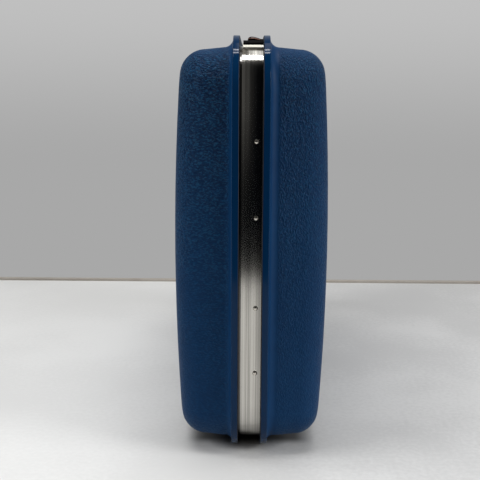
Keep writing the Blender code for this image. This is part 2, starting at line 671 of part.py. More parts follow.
def make_latch(end_name, end_side):
    """One latch: base, lever on its pin, sliding button, key cylinder, and a strike on the lid."""
    left = BAND_LEFT_X + LATCH_LEFT_MARGIN
    right = BAND_RIGHT_X
    low = BAND_TOP_Z + SEAT_GAP
    arch = low + LATCH_FOOT_HEIGHT
    deck = low + LATCH_BASE_HEIGHT
    ride = deck + LEVER_GAP
    axis_x = right - SEAT_GAP - LEVER_BARREL_RADIUS
    axis = Vector((axis_x, 0, ride))

    def along(distance):
        """The place along the case at a distance from the start of the latch's moving parts."""
        return end_side * (LATCH_END - distance)

    def span(start, end):
        return tuple(sorted((along(start), along(end))))

    first_lug = LATCH_ROW_GAP
    lever_start = first_lug + LEVER_LUG + SEAT_GAP
    lever_end = lever_start + LEVER_LENGTH
    second_lug = lever_end + SEAT_GAP
    button_start = second_lug + LEVER_LUG + LATCH_ROW_GAP
    button_middle = button_start + BUTTON_LENGTH / 2
    lock_rim = LOCK_RADIUS + LOCK_RIM
    lock_middle = button_start + BUTTON_LENGTH + BUTTON_TRAVEL + LATCH_ROW_GAP + lock_rim

    # base, with feet on the band, an arch between them, a trough for the lever and two lugs; its
    # outward end is bent down with the band
    profile = [
        (left, low),
        (left + LATCH_FOOT_WIDTH, low),
        (left + LATCH_FOOT_WIDTH, arch),
        (right - LATCH_FOOT_WIDTH, arch),
        (right - LATCH_FOOT_WIDTH, low),
        (right, low),
        (right, deck),
        (left, deck),
    ]
    base = bent_bar(f"latch_base_{end_name}", profile, LATCH_END - LATCH_LENGTH, end_side,
                    LATCH_PLASTIC)
    trough_low = ride - LEVER_BARREL_RADIUS - LEVER_GAP
    near_y, far_y = span(first_lug + LEVER_LUG / 2, second_lug + LEVER_LUG / 2)
    trough = block(f"{base.name}_trough_cutter",
                   (axis_x - LEVER_BARREL_RADIUS - LEVER_GAP, near_y, trough_low),
                   (right + CUT_OVERRUN, far_y, deck + CUT_OVERRUN), LATCH_PLASTIC)
    cut(base, trough)
    for number, start in ((1, first_lug), (2, second_lug)):
        near_y, far_y = span(start, start + LEVER_LUG)
        lug = block(f"{base.name}_lug_{number}",
                    (axis_x - LEVER_BARREL_RADIUS, near_y, (arch + trough_low) / 2),
                    (right, far_y, ride + LEVER_BARREL_RADIUS), LATCH_PLASTIC)
        join(base, lug)
    bore = rod(f"{base.name}_bore_cutter", (axis_x, along(0), ride),
               (axis_x, along(second_lug + LEVER_LUG + LATCH_ROW_GAP), ride),
               LEVER_PIN_RADIUS + PIN_CLEARANCE, HOLE_SIDES, LATCH_PLASTIC)
    button_x = (left + right) / 2
    near_y, far_y = span(button_middle - BUTTON_STEM_LENGTH / 2 - SEAT_GAP,
                         button_middle + BUTTON_STEM_LENGTH / 2 + BUTTON_TRAVEL + SEAT_GAP)
    slot_half = BUTTON_STEM_WIDTH / 2 + SEAT_GAP
    slot = block(f"{base.name}_slot_cutter", (button_x - slot_half, near_y, arch - CUT_OVERRUN),
                 (button_x + slot_half, far_y, deck + CUT_OVERRUN), LATCH_PLASTIC)
    lock_y = along(lock_middle)
    hole = rod(f"{base.name}_lock_cutter", (button_x, lock_y, arch - CUT_OVERRUN),
               (button_x, lock_y, deck + CUT_OVERRUN), LOCK_RADIUS + SEAT_GAP, BARREL_SIDES,
               LATCH_PLASTIC)
    cut(base, bore, slot, hole)

    # lever, a domed cover that lifts about its pin
    lever_left = left + LEVER_LEFT_MARGIN
    width = axis_x - lever_left
    height = CASE_HEIGHT - ride
    profile = [(lever_left, ride)]
    profile += [(lever_left + x * width, ride + z * height) for x, z in LEVER_TOP_SHARES]
    profile += arc(axis_x, ride, LEVER_BARREL_RADIUS, LEVER_JOIN_ANGLE, -180, BARREL_SIDES // 2)
    lever = extruded(f"latch_lever_{end_name}", profile, *span(lever_start, lever_end),
                     LEVER_METAL, axis)
    cut(lever, bore)
    carry(pivot(f"lever_axis_{end_name}", axis), lever)
    pin_start, pin_end = span(first_lug, second_lug + LEVER_LUG)
    rod(f"latch_pin_{end_name}", (axis_x, pin_start, ride), (axis_x, pin_end, ride),
        LEVER_PIN_RADIUS, HOLE_SIDES, LOCK_METAL)

    # button, a thumb pad whose stem slides in the base's slot
    rest = Vector((button_x, along(button_middle), ride))
    near_y, far_y = span(button_start, button_start + BUTTON_LENGTH)
    button = block(f"latch_button_{end_name}", (button_x - BUTTON_WIDTH / 2, near_y, ride),
                   (button_x + BUTTON_WIDTH / 2, far_y, ride + BUTTON_THICKNESS), LOCK_METAL, rest)
    bevel(button, BUTTON_THICKNESS * BUTTON_BEVEL_SHARE)
    near_y, far_y = span(button_middle - BUTTON_STEM_LENGTH / 2,
                         button_middle + BUTTON_STEM_LENGTH / 2)
    stem = block(f"{button.name}_stem", (button_x - BUTTON_STEM_WIDTH / 2, near_y, arch),
                 (button_x + BUTTON_STEM_WIDTH / 2, far_y, ride + BUTTON_THICKNESS / 2), LOCK_METAL)
    join(button, stem)
    carry(pivot(f"button_slide_{end_name}", rest), button)

    # key cylinder, turning in the base
    lock_place = Vector((button_x, lock_y, ride))
    profile = (
        (0, LOCK_RIM_HEIGHT),
        (LOCK_RADIUS, LOCK_RIM_HEIGHT),
        (lock_rim, LOCK_RIM_HEIGHT / 2),
        (lock_rim, 0),
        (LOCK_RADIUS, 0),
        (LOCK_RADIUS, arch - ride),
        (0, arch - ride),
    )
    lock = turned(f"latch_lock_{end_name}", profile, lock_place, (0, 0, 1), BARREL_SIDES,
                  LOCK_METAL)
    half = Vector((KEYWAY_WIDTH / 2, KEYWAY_LENGTH / 2, 0))
    high = Vector((0, 0, LOCK_RIM_HEIGHT + CUT_OVERRUN))
    deep = Vector((0, 0, LOCK_RIM_HEIGHT - KEYWAY_DEPTH))
    keyway = block(f"{lock.name}_keyway_cutter", lock_place - half + deep,
                   lock_place + half + high, LOCK_METAL)
    cut(lock, keyway)
    carry(pivot(f"lock_axis_{end_name}", lock_place), lock)

    # strike plate, under the lid's tongue
    top = CASE_HEIGHT - TONGUE_INSET - FRAME_THICKNESS - SEAT_GAP
    low_x = -(LIP_IN_X - SEAT_GAP - FRAME_THICKNESS - STRIKE_MARGIN)
    high_x = TONGUE_END_X - STRIKE_MARGIN
    middle_y = along((lever_start + lever_end) / 2)
    strike = block(f"latch_strike_{end_name}",
                   (low_x, middle_y - STRIKE_LENGTH / 2, top - STRIKE_THICKNESS),
                   (high_x, middle_y + STRIKE_LENGTH / 2, top), LOCK_METAL, lid_axis.location)
    middle_x = (low_x + high_x) / 2
    opening = block(f"{strike.name}_cutter",
                    (middle_x - STRIKE_SLOT_WIDTH / 2, middle_y - STRIKE_SLOT_LENGTH / 2,
                     top - STRIKE_THICKNESS - CUT_OVERRUN),
                    (middle_x + STRIKE_SLOT_WIDTH / 2, middle_y + STRIKE_SLOT_LENGTH / 2,
                     top + CUT_OVERRUN), LOCK_METAL)
    cut(strike, opening)
    carry(lid_axis, strike)


for end_name, end_side in ENDS:
    make_latch(end_name, end_side)


handle_x = (BAND_LEFT_X + BAND_RIGHT_X) / 2
handle_top = CASE_HEIGHT - HANDLE_FLUSH_MARGIN
plate_low = BAND_TOP_Z + SEAT_GAP
plate_high = plate_low + PLATE_THICKNESS
neck_under = CASE_HEIGHT - NECK_INNER_INSET
foot_high = neck_under - SEAT_GAP - HANDLE_TRAVEL
foot_low = foot_high - FOOT_THICKNESS
handle_slide = pivot("handle_slide", (handle_x, 0, handle_top))


def make_grip():
    """The padded grip, slightly arched, with a soft oval section."""
    half_length = HANDLE_PLACE - CAP_LENGTH / 2 - SEAT_GAP
    mesh = bmesh.new()
    rings = []
    for station in range(GRIP_STEPS + 1):
        share = 2 * station / GRIP_STEPS - 1
        middle_z = handle_top - GRIP_THICKNESS / 2 - GRIP_SAG * share ** 2
        ring = []
        for side in range(GRIP_SIDES):
            angle = math.pi * (2 * side + 1) / GRIP_SIDES
            across = math.copysign(abs(math.cos(angle)) ** GRIP_SQUARENESS, math.cos(angle))
            up = math.copysign(abs(math.sin(angle)) ** GRIP_SQUARENESS, math.sin(angle))
            ring.append(mesh.verts.new((handle_x + HANDLE_WIDTH / 2 * across,
                                        half_length * share,
                                        middle_z + GRIP_THICKNESS / 2 * up)))
        rings.append(ring)
    for first, second in zip(rings, rings[1:]):
        for index in range(GRIP_SIDES):
            after = (index + 1) % GRIP_SIDES
            mesh.faces.new((first[index], first[after], second[after], second[index]))
    mesh.faces.new(rings[0])
    mesh.faces.new(rings[-1])
    grip = finish_object("handle_grip", mesh, HANDLE_PADDING, handle_slide.location, smooth=True)
    carry(handle_slide, grip)


def make_handle_end(end_name, end_side):
    """A metal end of the handle with its footed post, the plate on the band and the guide below."""
    middle = end_side * HANDLE_PLACE

    def around(half_x, half_y, low_z, high_z, centre_x=RIVET_LINE_X):
        """Opposite corners of a block round the post."""
        return ((centre_x - half_x, middle - half_y, low_z),
                (centre_x + half_x, middle + half_y, high_z))

    cap = block(f"handle_end_{end_name}",
                *around(HANDLE_WIDTH / 2, CAP_LENGTH / 2, plate_high + CAP_SEAT, handle_top, handle_x),
                HANDLE_METAL, handle_slide.location)
    bevel(cap, CAP_BEVEL, 2)
    post_half = POST_THICKNESS / 2
    foot_half = POST_WIDTH / 2 + FOOT_OVERHANG
    cap_middle = (plate_high + CAP_SEAT + handle_top) / 2
    post = block(f"{cap.name}_post",
                 *around(post_half, POST_WIDTH / 2, (foot_low + foot_high) / 2, cap_middle),
                 HANDLE_METAL)
    foot = block(f"{cap.name}_foot", *around(post_half, foot_half, foot_low, foot_high),
                 HANDLE_METAL)
    join(cap, post, foot)
    carry(handle_slide, cap)

    plate = block(f"handle_plate_{end_name}",
                  *around(HANDLE_WIDTH / 2 + PLATE_MARGIN, CAP_LENGTH / 2 + PLATE_MARGIN,
                          plate_low, plate_high, handle_x), HANDLE_METAL)
    slot = block(f"{plate.name}_slot_cutter",
                 *around(post_half + POST_CLEARANCE, POST_WIDTH / 2 + POST_CLEARANCE,
                         neck_under - CUT_OVERRUN, plate_high + CUT_OVERRUN), HANDLE_METAL)
    for piece in (plate, body_band, body_shell):
        cut(piece, slot)

    hollow_x = post_half + POST_CLEARANCE
    hollow_y = foot_half + POST_CLEARANCE
    floor = foot_low - SEAT_GAP
    guide = block(f"handle_guide_{end_name}",
                  *around(hollow_x + GUIDE_WALL, hollow_y + GUIDE_WALL, floor - GUIDE_WALL,
                          neck_under - SEAT_GAP), GUIDE_PLASTIC)
    cut(guide, block(f"{guide.name}_cutter", *around(hollow_x, hollow_y, floor, neck_under),
                     GUIDE_PLASTIC))


make_grip()
for end_name, end_side in ENDS:
    make_handle_end(end_name, end_side)


def make_packing_strap(end_name, end_side):
    """A webbing strap laid down the inside of the body, its two anchors and its buckle."""
    middle = end_side * STRAP_PLACE
    outer_y = STRAP_PLACE + STRAP_WIDTH / 2
    face = BODY_DEPTH - WALL - SEAT_GAP - LINING - STRAP_CLEARANCE

    def strip(name, low_z, high_z, depth, thickness, width, finish):
        """A strip that follows the crown of the lined face at a depth in front of the strap."""
        back = []
        for step in range(STRAP_STEPS + 1):
            z = low_z + (high_z - low_z) * step / STRAP_STEPS
            back.append((face - depth - crown_drop(outer_y, z), z))
        front = [(x - thickness, z) for x, z in back]
        return extruded(name, back + front[::-1], middle - width / 2, middle + width / 2, finish)

    strip(f"packing_strap_{end_name}", MIDDLE_Z - STRAP_REACH, MIDDLE_Z + STRAP_REACH, 0,
          STRAP_THICKNESS, STRAP_WIDTH, STRAP_WEBBING)
    in_front = STRAP_THICKNESS + SEAT_GAP
    for name, side in (("low", -1), ("high", 1)):
        ends = sorted((MIDDLE_Z + side * STRAP_REACH, MIDDLE_Z + side * (STRAP_REACH - ANCHOR_LENGTH)))
        strip(f"strap_anchor_{end_name}_{name}", *ends, in_front, ANCHOR_THICKNESS, ANCHOR_WIDTH,
              BUCKLE_PLASTIC)
    buckle = strip(f"strap_buckle_{end_name}", MIDDLE_Z - BUCKLE_LENGTH / 2,
                   MIDDLE_Z + BUCKLE_LENGTH / 2, in_front, BUCKLE_THICKNESS, BUCKLE_WIDTH,
                   BUCKLE_PLASTIC)
    bevel(buckle, BUCKLE_BEVEL)


for end_name, end_side in ENDS:
    make_packing_strap(end_name, end_side)


# The lid is less deep than the body, so the whole case moves to put its middle over the origin
for piece in bpy.data.objects:
    if piece.parent is None:
        piece.location.x += (LID_DEPTH - BODY_DEPTH) / 2
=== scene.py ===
"""The finishes and fine shapes of a hard-shell suitcase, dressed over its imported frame.

Metres, +Z up. The case stands on its hinge side, with the lid at -X and the body at +X. An inset
is a distance inwards from the outline that the tips of the lips draw in the YZ plane.
"""

import math

import bpy
from mathutils import Matrix, Vector


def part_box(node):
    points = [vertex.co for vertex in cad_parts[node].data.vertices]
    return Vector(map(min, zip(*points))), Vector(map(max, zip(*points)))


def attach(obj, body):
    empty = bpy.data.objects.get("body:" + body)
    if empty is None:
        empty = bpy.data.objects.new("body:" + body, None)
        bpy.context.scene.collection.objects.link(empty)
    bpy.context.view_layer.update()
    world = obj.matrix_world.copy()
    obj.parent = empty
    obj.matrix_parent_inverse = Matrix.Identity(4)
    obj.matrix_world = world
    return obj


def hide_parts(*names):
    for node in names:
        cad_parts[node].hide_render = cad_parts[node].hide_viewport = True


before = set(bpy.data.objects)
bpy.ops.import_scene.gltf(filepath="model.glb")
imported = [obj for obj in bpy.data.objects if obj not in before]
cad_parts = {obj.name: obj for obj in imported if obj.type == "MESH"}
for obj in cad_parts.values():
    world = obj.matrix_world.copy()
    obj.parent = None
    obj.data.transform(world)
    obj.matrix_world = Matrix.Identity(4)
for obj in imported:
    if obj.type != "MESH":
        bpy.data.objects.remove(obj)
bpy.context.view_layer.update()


# Whole case
CASE_LENGTH = 0.660
CASE_HEIGHT = 0.500
BODY_DEPTH = 0.0968
LID_DEPTH = 0.0948
END_CROWN = 0.006
EDGE_CROWN = 0.009
MIDDLE_X = (LID_DEPTH - BODY_DEPTH) / 2
MIDDLE_Z = CASE_HEIGHT / 2

# Lips and walls, as distances from the middle plane between the lips and as insets
LIP_IN_X = 0.0138
LIP_OUT_X = 0.0214
LIP_HEIGHT = 0.014
LIP_CORNER_RADIUS = 0.064
LIP_TIP_RADIUS = 0.0009
LIP_FILLET = 0.011
WALL = 0.003
WALL_DRAW_IN = 0.0022
WALL_CORNER_RADIUS = 0.052
EDGE_RADIUS = 0.028
CENTRE_RADIUS_SHARE = 0.08
NECK_INSET = 0.0115
NECK_INNER_INSET = 0.0145
NECK_END_X = 0.0005

# Band
BAND_LEFT_X = -0.0107
BAND_RIGHT_X = 0.0135
BAND_INSET = 0.0100
BAND_SWELL = 0.00028
BAND_THICKNESS = 0.0012

# Rivets
RIVET_LINE_X = 0.0064
RIVET_RADIUS = 0.0028
RIVET_HEIGHT = 0.0014
RIVET_SEAT = 0.0003
END_RIVETS = 4

# How finely the meshes are cut. A side cut has a number of cuts for sides between two lengths
CORNER_SEGMENTS = 20
FILLET_STEPS = 8
TIP_STEPS = 5
EDGE_STEPS = 12
INNER_EDGE_STEPS = 8
SIDE_CUTS = ((13, 0.45, 1), (9, 0.3, 0.45))
FACE_SHARES = (1, 0.88, 0.74, 0.58, 0.42, 0.27, 0.13)
SOFT_ANGLE = math.radians(35)
TINY = 1e-6


def colour(red, green, blue):
    """A colour given as it looks on a screen, 0 to 255, as the linear values a shader takes."""
    linear = []
    for channel in (red, green, blue):
        share = channel / 255
        linear.append(share / 12.92 if share <= 0.04045 else ((share + 0.055) / 1.055) ** 2.4)
    return (*linear, 1)


def toned(tint, share):
    """A screen colour made darker or lighter, as a shader takes it."""
    return colour(*[min(part * share, 255) for part in tint])


class Socket:
    """A shader socket that plain arithmetic works on: each operator adds its Math node."""

    def __init__(self, finish, output):
        self.finish = finish
        self.output = output

    def maths(self, operation, *operands):
        return self.finish.add("ShaderNodeMath", {"operation": operation},
                               dict(enumerate(operands)))

    def __add__(self, other):
        return self.maths("ADD", self, other)

    def __radd__(self, other):
        return self.maths("ADD", other, self)

    def __sub__(self, other):
        return self.maths("SUBTRACT", self, other)

    def __rsub__(self, other):
        return self.maths("SUBTRACT", other, self)

    def __mul__(self, other):
        return self.maths("MULTIPLY", self, other)

    def __rmul__(self, other):
        return self.maths("MULTIPLY", other, self)

    def __abs__(self):
        return self.maths("ABSOLUTE", self)


class Finish:
    """A material or a world, whose nodes are added one at a time."""

    def __init__(self, owner):
        self.owner = owner
        owner.use_nodes = True
        self.tree = owner.node_tree
        self.tree.nodes.clear()

    def add(self, kind, settings=None, sockets=None, output=0):
        """Add a node: its settings first, then the values or links of its sockets."""
        node = self.tree.nodes.new(kind)
        for name, setting in (settings or {}).items():
            setattr(node, name, setting)
        for name, value in (sockets or {}).items():
            if isinstance(value, Socket):
                self.tree.links.new(value.output, node.inputs[name])
            else:
                node.inputs[name].default_value = value
        return Socket(self, node.outputs[output]) if node.outputs else None

    def axis(self, vector, letter):
        """One coordinate of a vector."""
        return self.add("ShaderNodeSeparateXYZ", sockets={"Vector": vector}, output=letter)

    def stretched(self, vector, scale, turn=(0, 0, 0)):
        """A place turned, in radians, and scaled along each axis."""
        return self.add("ShaderNodeMapping", {"vector_type": "POINT"},
                        {"Vector": vector, "Rotation": turn, "Scale": scale})

    def noise(self, vector, scale, detail=2, roughness=0.5, output="Fac"):
        """Cloudy noise, as a value or as a colour."""
        return self.add("ShaderNodeTexNoise", sockets={"Vector": vector, "Scale": scale,
                                                       "Detail": detail, "Roughness": roughness},
                        output=output)

    def wandering(self, vector, scale, reach):
        """A place pushed about by noise, up to about half the reach each way."""
        drift = self.add("ShaderNodeVectorMath", {"operation": "MULTIPLY_ADD"},
                         {0: self.noise(vector, scale, output="Color"), 1: (reach,) * 3,
                          2: (-reach / 2,) * 3})
        return self.add("ShaderNodeVectorMath", {"operation": "ADD"}, {0: vector, 1: drift})

    def step(self, value, low, high, start=0, end=1):
        """A smooth change from start to end while a value goes from low to high."""
        return self.add("ShaderNodeMapRange", {"interpolation_type": "SMOOTHSTEP"},
                        {"Value": value, "From Min": low, "From Max": high, "To Min": start,
                         "To Max": end})

    def blend(self, share, first, second):
        """A colour between two."""
        return self.add("ShaderNodeMix", {"data_type": "RGBA"}, {0: share, 6: first, 7: second}, 2)

    def bump(self, height, strength, distance):
        """A normal that leans as if the surface rose with the height."""
        return self.add("ShaderNodeBump", sockets={"Height": height, "Strength": strength,
                                                   "Distance": distance})

    def surface(self, **sockets):
        """End with the shader, whose sockets are named with underscores for spaces."""
        named = {name.replace("_", " "): value for name, value in sockets.items()}
        shader = self.add("ShaderNodeBsdfPrincipled", sockets=named)
        self.add("ShaderNodeOutputMaterial", sockets={"Surface": shader})
        return self.owner


def new_finish(name):
    """A new material, and where a point lies in the case's own frame."""
    finish = Finish(bpy.data.materials.new(name))
    return finish, finish.add("ShaderNodeTexCoord", output="Object")


GRAIN_FADE = 0.005


def leather_finish(name, stretch, turn, grain_start, painted_grain_light):
    """Painted shell with a pressed leather grain, satin fillets and glossy lips; the grain's crests
    carry a painted highlight and its valleys painted shade.
    """
    finish, place = new_finish(name)

    # The zones, from the lip's inner side out to the grained shell
    from_middle = abs(finish.axis(place, "X") - MIDDLE_X)
    grained = finish.step(from_middle, grain_start, grain_start + GRAIN_FADE)
    satin = finish.step(from_middle, LIP_OUT_X - 0.0002, LIP_OUT_X + 0.0010)
    inner = finish.step(from_middle, LIP_IN_X + 0.0006, LIP_IN_X + 0.0002)

    # The grain: pebbles with ridges between them
    bent = finish.wandering(place, 230, 0.0024)
    laid = finish.stretched(bent, stretch, turn)
    spread = finish.add("ShaderNodeTexVoronoi", {"feature": "SMOOTH_F1"},
                        {"Vector": laid, "Scale": 1, "Smoothness": 0.2}, "Distance")
    pebble = finish.step(spread, 0.72, 0.15)
    ridges = finish.step(abs(finish.noise(laid, 0.8, 2) - 0.5), 0.11, 0.0)
    wrinkles = pebble * 0.55 + ridges * 0.45
    fine = finish.noise(place, 1500, 2)
    patch = finish.noise(place, 11, 3)
    tone = finish.noise(place, 70, 3)

    # It is deepest high up on the shell, and flatter low down and over the top edge; the grain's
    # painted highlights and shade fade with it.
    up = finish.axis(place, "Z")
    worn = finish.step(up, 0.04, 0.34, 0.3, 0.75) + finish.step(up, 0.28, 0.44, 0, 0.5)
    worn = worn * finish.step(up, 0.484, 0.468, 0.35, 1)
    depth = grained * worn * finish.step(patch, 0.25, 0.6, 0.6, 1)

    # The paint, with a painted highlight on the crests and painted shade in the valleys, which
    # stand in for the light that the grain catches
    shell_paint = finish.blend(finish.step(patch * 0.6 + tone * 0.4, 0.35, 0.65),
                               colour(1, 44, 82), colour(4, 50, 89))
    ground = finish.blend(satin, colour(4, 38, 70), shell_paint)
    crests = finish.step(wrinkles, 0.42, 0.8)
    valleys = finish.step(wrinkles, 0.5, 0.12)
    painted_crest_highlight = finish.blend(crests * depth * painted_grain_light, ground, colour(30, 86, 122))
    painted_valley_shade = finish.blend(valleys * depth * painted_grain_light, painted_crest_highlight, colour(1, 22, 50))
    painted = finish.blend(inner, painted_valley_shade, colour(44, 40, 38))
    return finish.surface(
        Base_Color=painted,
        Roughness=0.07 + 0.03 * tone + satin * 0.45 + inner * 0.6,
        Specular_IOR_Level=0.14,
        Sheen_Weight=0.13,
        Sheen_Roughness=0.26,
        Sheen_Tint=colour(170, 204, 240),
        Normal=finish.bump((wrinkles + 0.12 * fine) * depth, 1.0, 0.0016),
    )


# Where the painted shade on a metal strip's right edge begins and ends
RIGHT_SHADE_START_X = 0.0035
RIGHT_SHADE_END_X = 0.0125


def brushed_finish(name, tint, roughness, depth):
    """Metal strip with fine lines drawn along its length, and a right edge darkened with painted
    shade.
    """
    finish, place = new_finish(name)
    lines = finish.noise(finish.stretched(place, (2200, 4, 4)), 1, 2, 0.6)
    broad = finish.noise(finish.stretched(place, (560, 2.5, 2.5)), 1, 3, 0.6)
    dents = finish.noise(finish.stretched(place, (150, 60, 60)), 1, 2)
    # Painted shade: the right edge is darkened, for the darker reflection that falls there
    painted_right_shade = finish.step(finish.axis(place, "X"), RIGHT_SHADE_START_X, RIGHT_SHADE_END_X)
    shade = finish.blend(finish.step(broad * 0.7 + lines * 0.3, 0.34, 0.66),
                         toned(tint, 0.72), colour(*tint))
    return finish.surface(
        Base_Color=finish.blend(painted_right_shade * 0.55, shade, toned(tint, 0.6)),
        Metallic=1,
        Roughness=roughness + 0.06 * lines,
        Normal=finish.bump(lines * 0.25 + broad * 0.6 + dents * 0.5, 0.5, depth),
    )


def polished_finish(name, tint, roughness):
    """Plain bright metal with faint handling marks."""
    finish, place = new_finish(name)
    marks = finish.noise(place, 240, 4, 0.65)
    clouds = finish.noise(place, 40, 3)
    shade = finish.blend(clouds, toned(tint, 0.88), colour(*tint))
    return finish.surface(
        Base_Color=shade,
        Metallic=1,
        Roughness=roughness + 0.14 * finish.step(marks, 0.45, 0.75),
        Normal=finish.bump(marks, 0.08, 0.0001),
    )


# Heights over which the lever's painted grey reflection comes in
LEVER_CROWN_START_Z = 0.4974
LEVER_CROWN_END_Z = 0.4990


def bronzed_finish(name, brown, crown_reflection_grey):
    """Dark bronzed metal, browner low down, with a painted grey reflection over its crown."""
    finish, place = new_finish(name)
    marks = finish.noise(place, 240, 4, 0.65)
    # Over the crown the colour turns grey: a painted reflection
    crown = finish.step(finish.axis(place, "Z") + marks * 0.0006, LEVER_CROWN_START_Z,
                        LEVER_CROWN_END_Z)
    return finish.surface(
        Base_Color=finish.blend(crown, colour(*brown), colour(*crown_reflection_grey)),
        Metallic=1,
        Roughness=0.12 + 0.1 * finish.step(marks, 0.45, 0.75),
        Normal=finish.bump(marks, 0.08, 0.0001),
    )


def moulded_finish(name, tint, roughness, gloss=0.5):
    """Moulded plastic with a fine stipple."""
    finish, place = new_finish(name)
    stipple = finish.noise(place, 1600, 2)
    clouds = finish.noise(place, 60, 3)
    lighter = colour(*[min(part * 1.25 + 3, 255) for part in tint])
    return finish.surface(
        Base_Color=finish.blend(clouds, colour(*tint), lighter),
        Roughness=roughness + 0.12 * clouds,
        Specular_IOR_Level=gloss,
        Normal=finish.bump(stipple, 0.15, 0.0001),
    )


def cloth_finish(name, tint, thread):
    """Woven cloth: uneven threads crossing both ways, about a thread's width apart."""
    finish, place = new_finish(name)
    across = 1 / (2.2 * thread)
    along = across / 9
    warp = finish.noise(finish.stretched(place, (across, across, along)), 1, 1)
    weft = finish.noise(finish.stretched(place, (across, along, across)), 1, 1)
    weave = finish.step(warp * 0.5 + weft * 0.5, 0.36, 0.64)
    clouds = finish.noise(place, 22, 4)
    shade = finish.blend(weave * 0.7 + clouds * 0.3, toned(tint, 0.74), toned(tint, 1.12))
    return finish.surface(
        Base_Color=shade,
        Roughness=0.74 + 0.12 * clouds,
        Sheen_Weight=0.3,
        Normal=finish.bump(weave, 0.4, 0.0002),
    )


def padding_finish(name, tint):
    """Soft black hide with a small even grain."""
    finish, place = new_finish(name)
    cells = finish.add("ShaderNodeTexVoronoi", {"feature": "DISTANCE_TO_EDGE"},
                       {"Vector": finish.wandering(place, 300, 0.002), "Scale": 900}, "Distance")
    seams = finish.step(cells, 0, 0.2)
    worn = finish.noise(place, 70, 4)
    shade = finish.blend(finish.step(worn, 0.5, 0.75), colour(*tint), colour(46, 46, 48))
    return finish.surface(
        Base_Color=shade,
        Roughness=0.5 + 0.15 * worn,
        Normal=finish.bump(seams, 0.4, 0.0002),
    )


# The last value sets how strong the grain's painted highlight and painted shade are, stronger on
# the lid
LID_LEATHER = leather_finish("lid_leather", stretch=(240, 500, 540),
                             turn=(0, math.radians(-14), 0), grain_start=0.0230, painted_grain_light=0.6)
BODY_LEATHER = leather_finish("body_leather", stretch=(540, 500, 290),
                              turn=(0, math.radians(18), 0), grain_start=0.0300, painted_grain_light=0.35)
BAND_METAL = brushed_finish("band_metal", (212, 209, 202), roughness=0.09, depth=0.00006)
FRAME_METAL = brushed_finish("frame_metal", (112, 110, 108), roughness=0.12, depth=0.00004)
RIVET_METAL = polished_finish("rivet_metal", (214, 208, 198), roughness=0.12)
HINGE_METAL = polished_finish("hinge_metal", (178, 176, 170), roughness=0.28)
LATCH_PLASTIC = moulded_finish("latch_plastic", (7, 7, 8), roughness=0.6, gloss=0.03)
LEVER_METAL = bronzed_finish("lever_metal", brown=(58, 38, 31), crown_reflection_grey=(84, 80, 80))
LOCK_METAL = polished_finish("lock_metal", (206, 204, 198), roughness=0.16)
HANDLE_METAL = polished_finish("handle_metal", (202, 200, 196), roughness=0.14)
HANDLE_HIDE = padding_finish("handle_hide", (18, 18, 20))
GUIDE_PLASTIC = moulded_finish("guide_plastic", (30, 31, 33), roughness=0.5)
LINING_CLOTH = cloth_finish("lining_cloth", (84, 98, 120), thread=0.0011)
STRAP_WEBBING = cloth_finish("strap_webbing", (36, 46, 66), thread=0.0016)
BUCKLE_PLASTIC = moulded_finish("buckle_plastic", (24, 26, 30), roughness=0.42)
PIPING_CLOTH = cloth_finish("piping_cloth", (46, 60, 84), thread=0.0007)
THREAD = cloth_finish("thread", (150, 146, 138), thread=0.0005)
# The pale strip under each latch's base
SEAT_PALE_STRIP = moulded_finish("seat_pale_strip", (228, 223, 200), roughness=0.55)


def pick(*pieces):
    """Select these pieces alone, with the last one active, in object mode."""
    if bpy.context.object is not None and bpy.context.object.mode != "OBJECT":
        bpy.ops.object.mode_set(mode="OBJECT")
    bpy.ops.object.select_all(action="DESELECT")
    for piece in pieces:
        piece.select_set(True)
    bpy.context.view_layer.objects.active = pieces[-1]


def edit(piece, kind="FACE"):
    """Open a piece in edit mode with everything selected."""
    pick(piece)
    bpy.ops.object.mode_set(mode="EDIT")
    bpy.ops.mesh.select_mode(type=kind)
    bpy.ops.mesh.select_all(action="SELECT")


def choose(piece, kind, wanted):
    """Open a piece in edit mode with its vertices, edges or faces selected that pass a test."""
    pick(piece)
    mesh = piece.data
    groups = {"VERT": mesh.vertices, "EDGE": mesh.edges, "FACE": mesh.polygons}
    for group in groups.values():
        group.foreach_set("select", [False] * len(group))
    for item in groups[kind]:
        item.select = wanted(item)
    bpy.ops.object.mode_set(mode="EDIT")
    bpy.ops.mesh.select_mode(type=kind)


def close(piece):
    """Leave edit mode, with the piece selected alone."""
    pick(piece)


def extrude(*way):
    """Extrude what is selected, and move it along a way."""
    bpy.ops.mesh.extrude_region_move(TRANSFORM_OT_translate={"value": way})


def open_disc(sides, radius, place=(0, 0, 0)):
    """A filled circle, open in edit mode with its face selected."""
    bpy.ops.object.select_all(action="DESELECT")
    bpy.ops.mesh.primitive_circle_add(vertices=sides, radius=radius, fill_type="NGON",
                                      location=place)
    disc = bpy.context.object
    bpy.ops.object.transform_apply()
    edit(disc)
    return disc


def block(middle, size):
    """A straight block with its middle at a place."""
    bpy.ops.object.select_all(action="DESELECT")
    bpy.ops.mesh.primitive_cube_add(size=1, location=middle)
    piece = bpy.context.object
    piece.scale = size
    bpy.ops.object.transform_apply()
    return piece


def name_piece(piece, name, body, finish, slot, *nodes):
    """Give a piece its name and finish, let it ride on a body, and let it stand for CAD nodes."""
    piece.name = name
    piece.data.name = name
    piece.data.materials.clear()
    piece.data.materials.append(finish)
    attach(piece, body)
    if nodes:
        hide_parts(*nodes)
    return piece


def apply_modifier(piece, kind, **settings):
    """Put a modifier on a piece and apply it."""
    pick(piece)
    step = piece.modifiers.new(kind.lower(), kind)
    for name, setting in settings.items():
        setattr(step, name, setting)
    bpy.ops.object.modifier_apply(modifier=step.name)


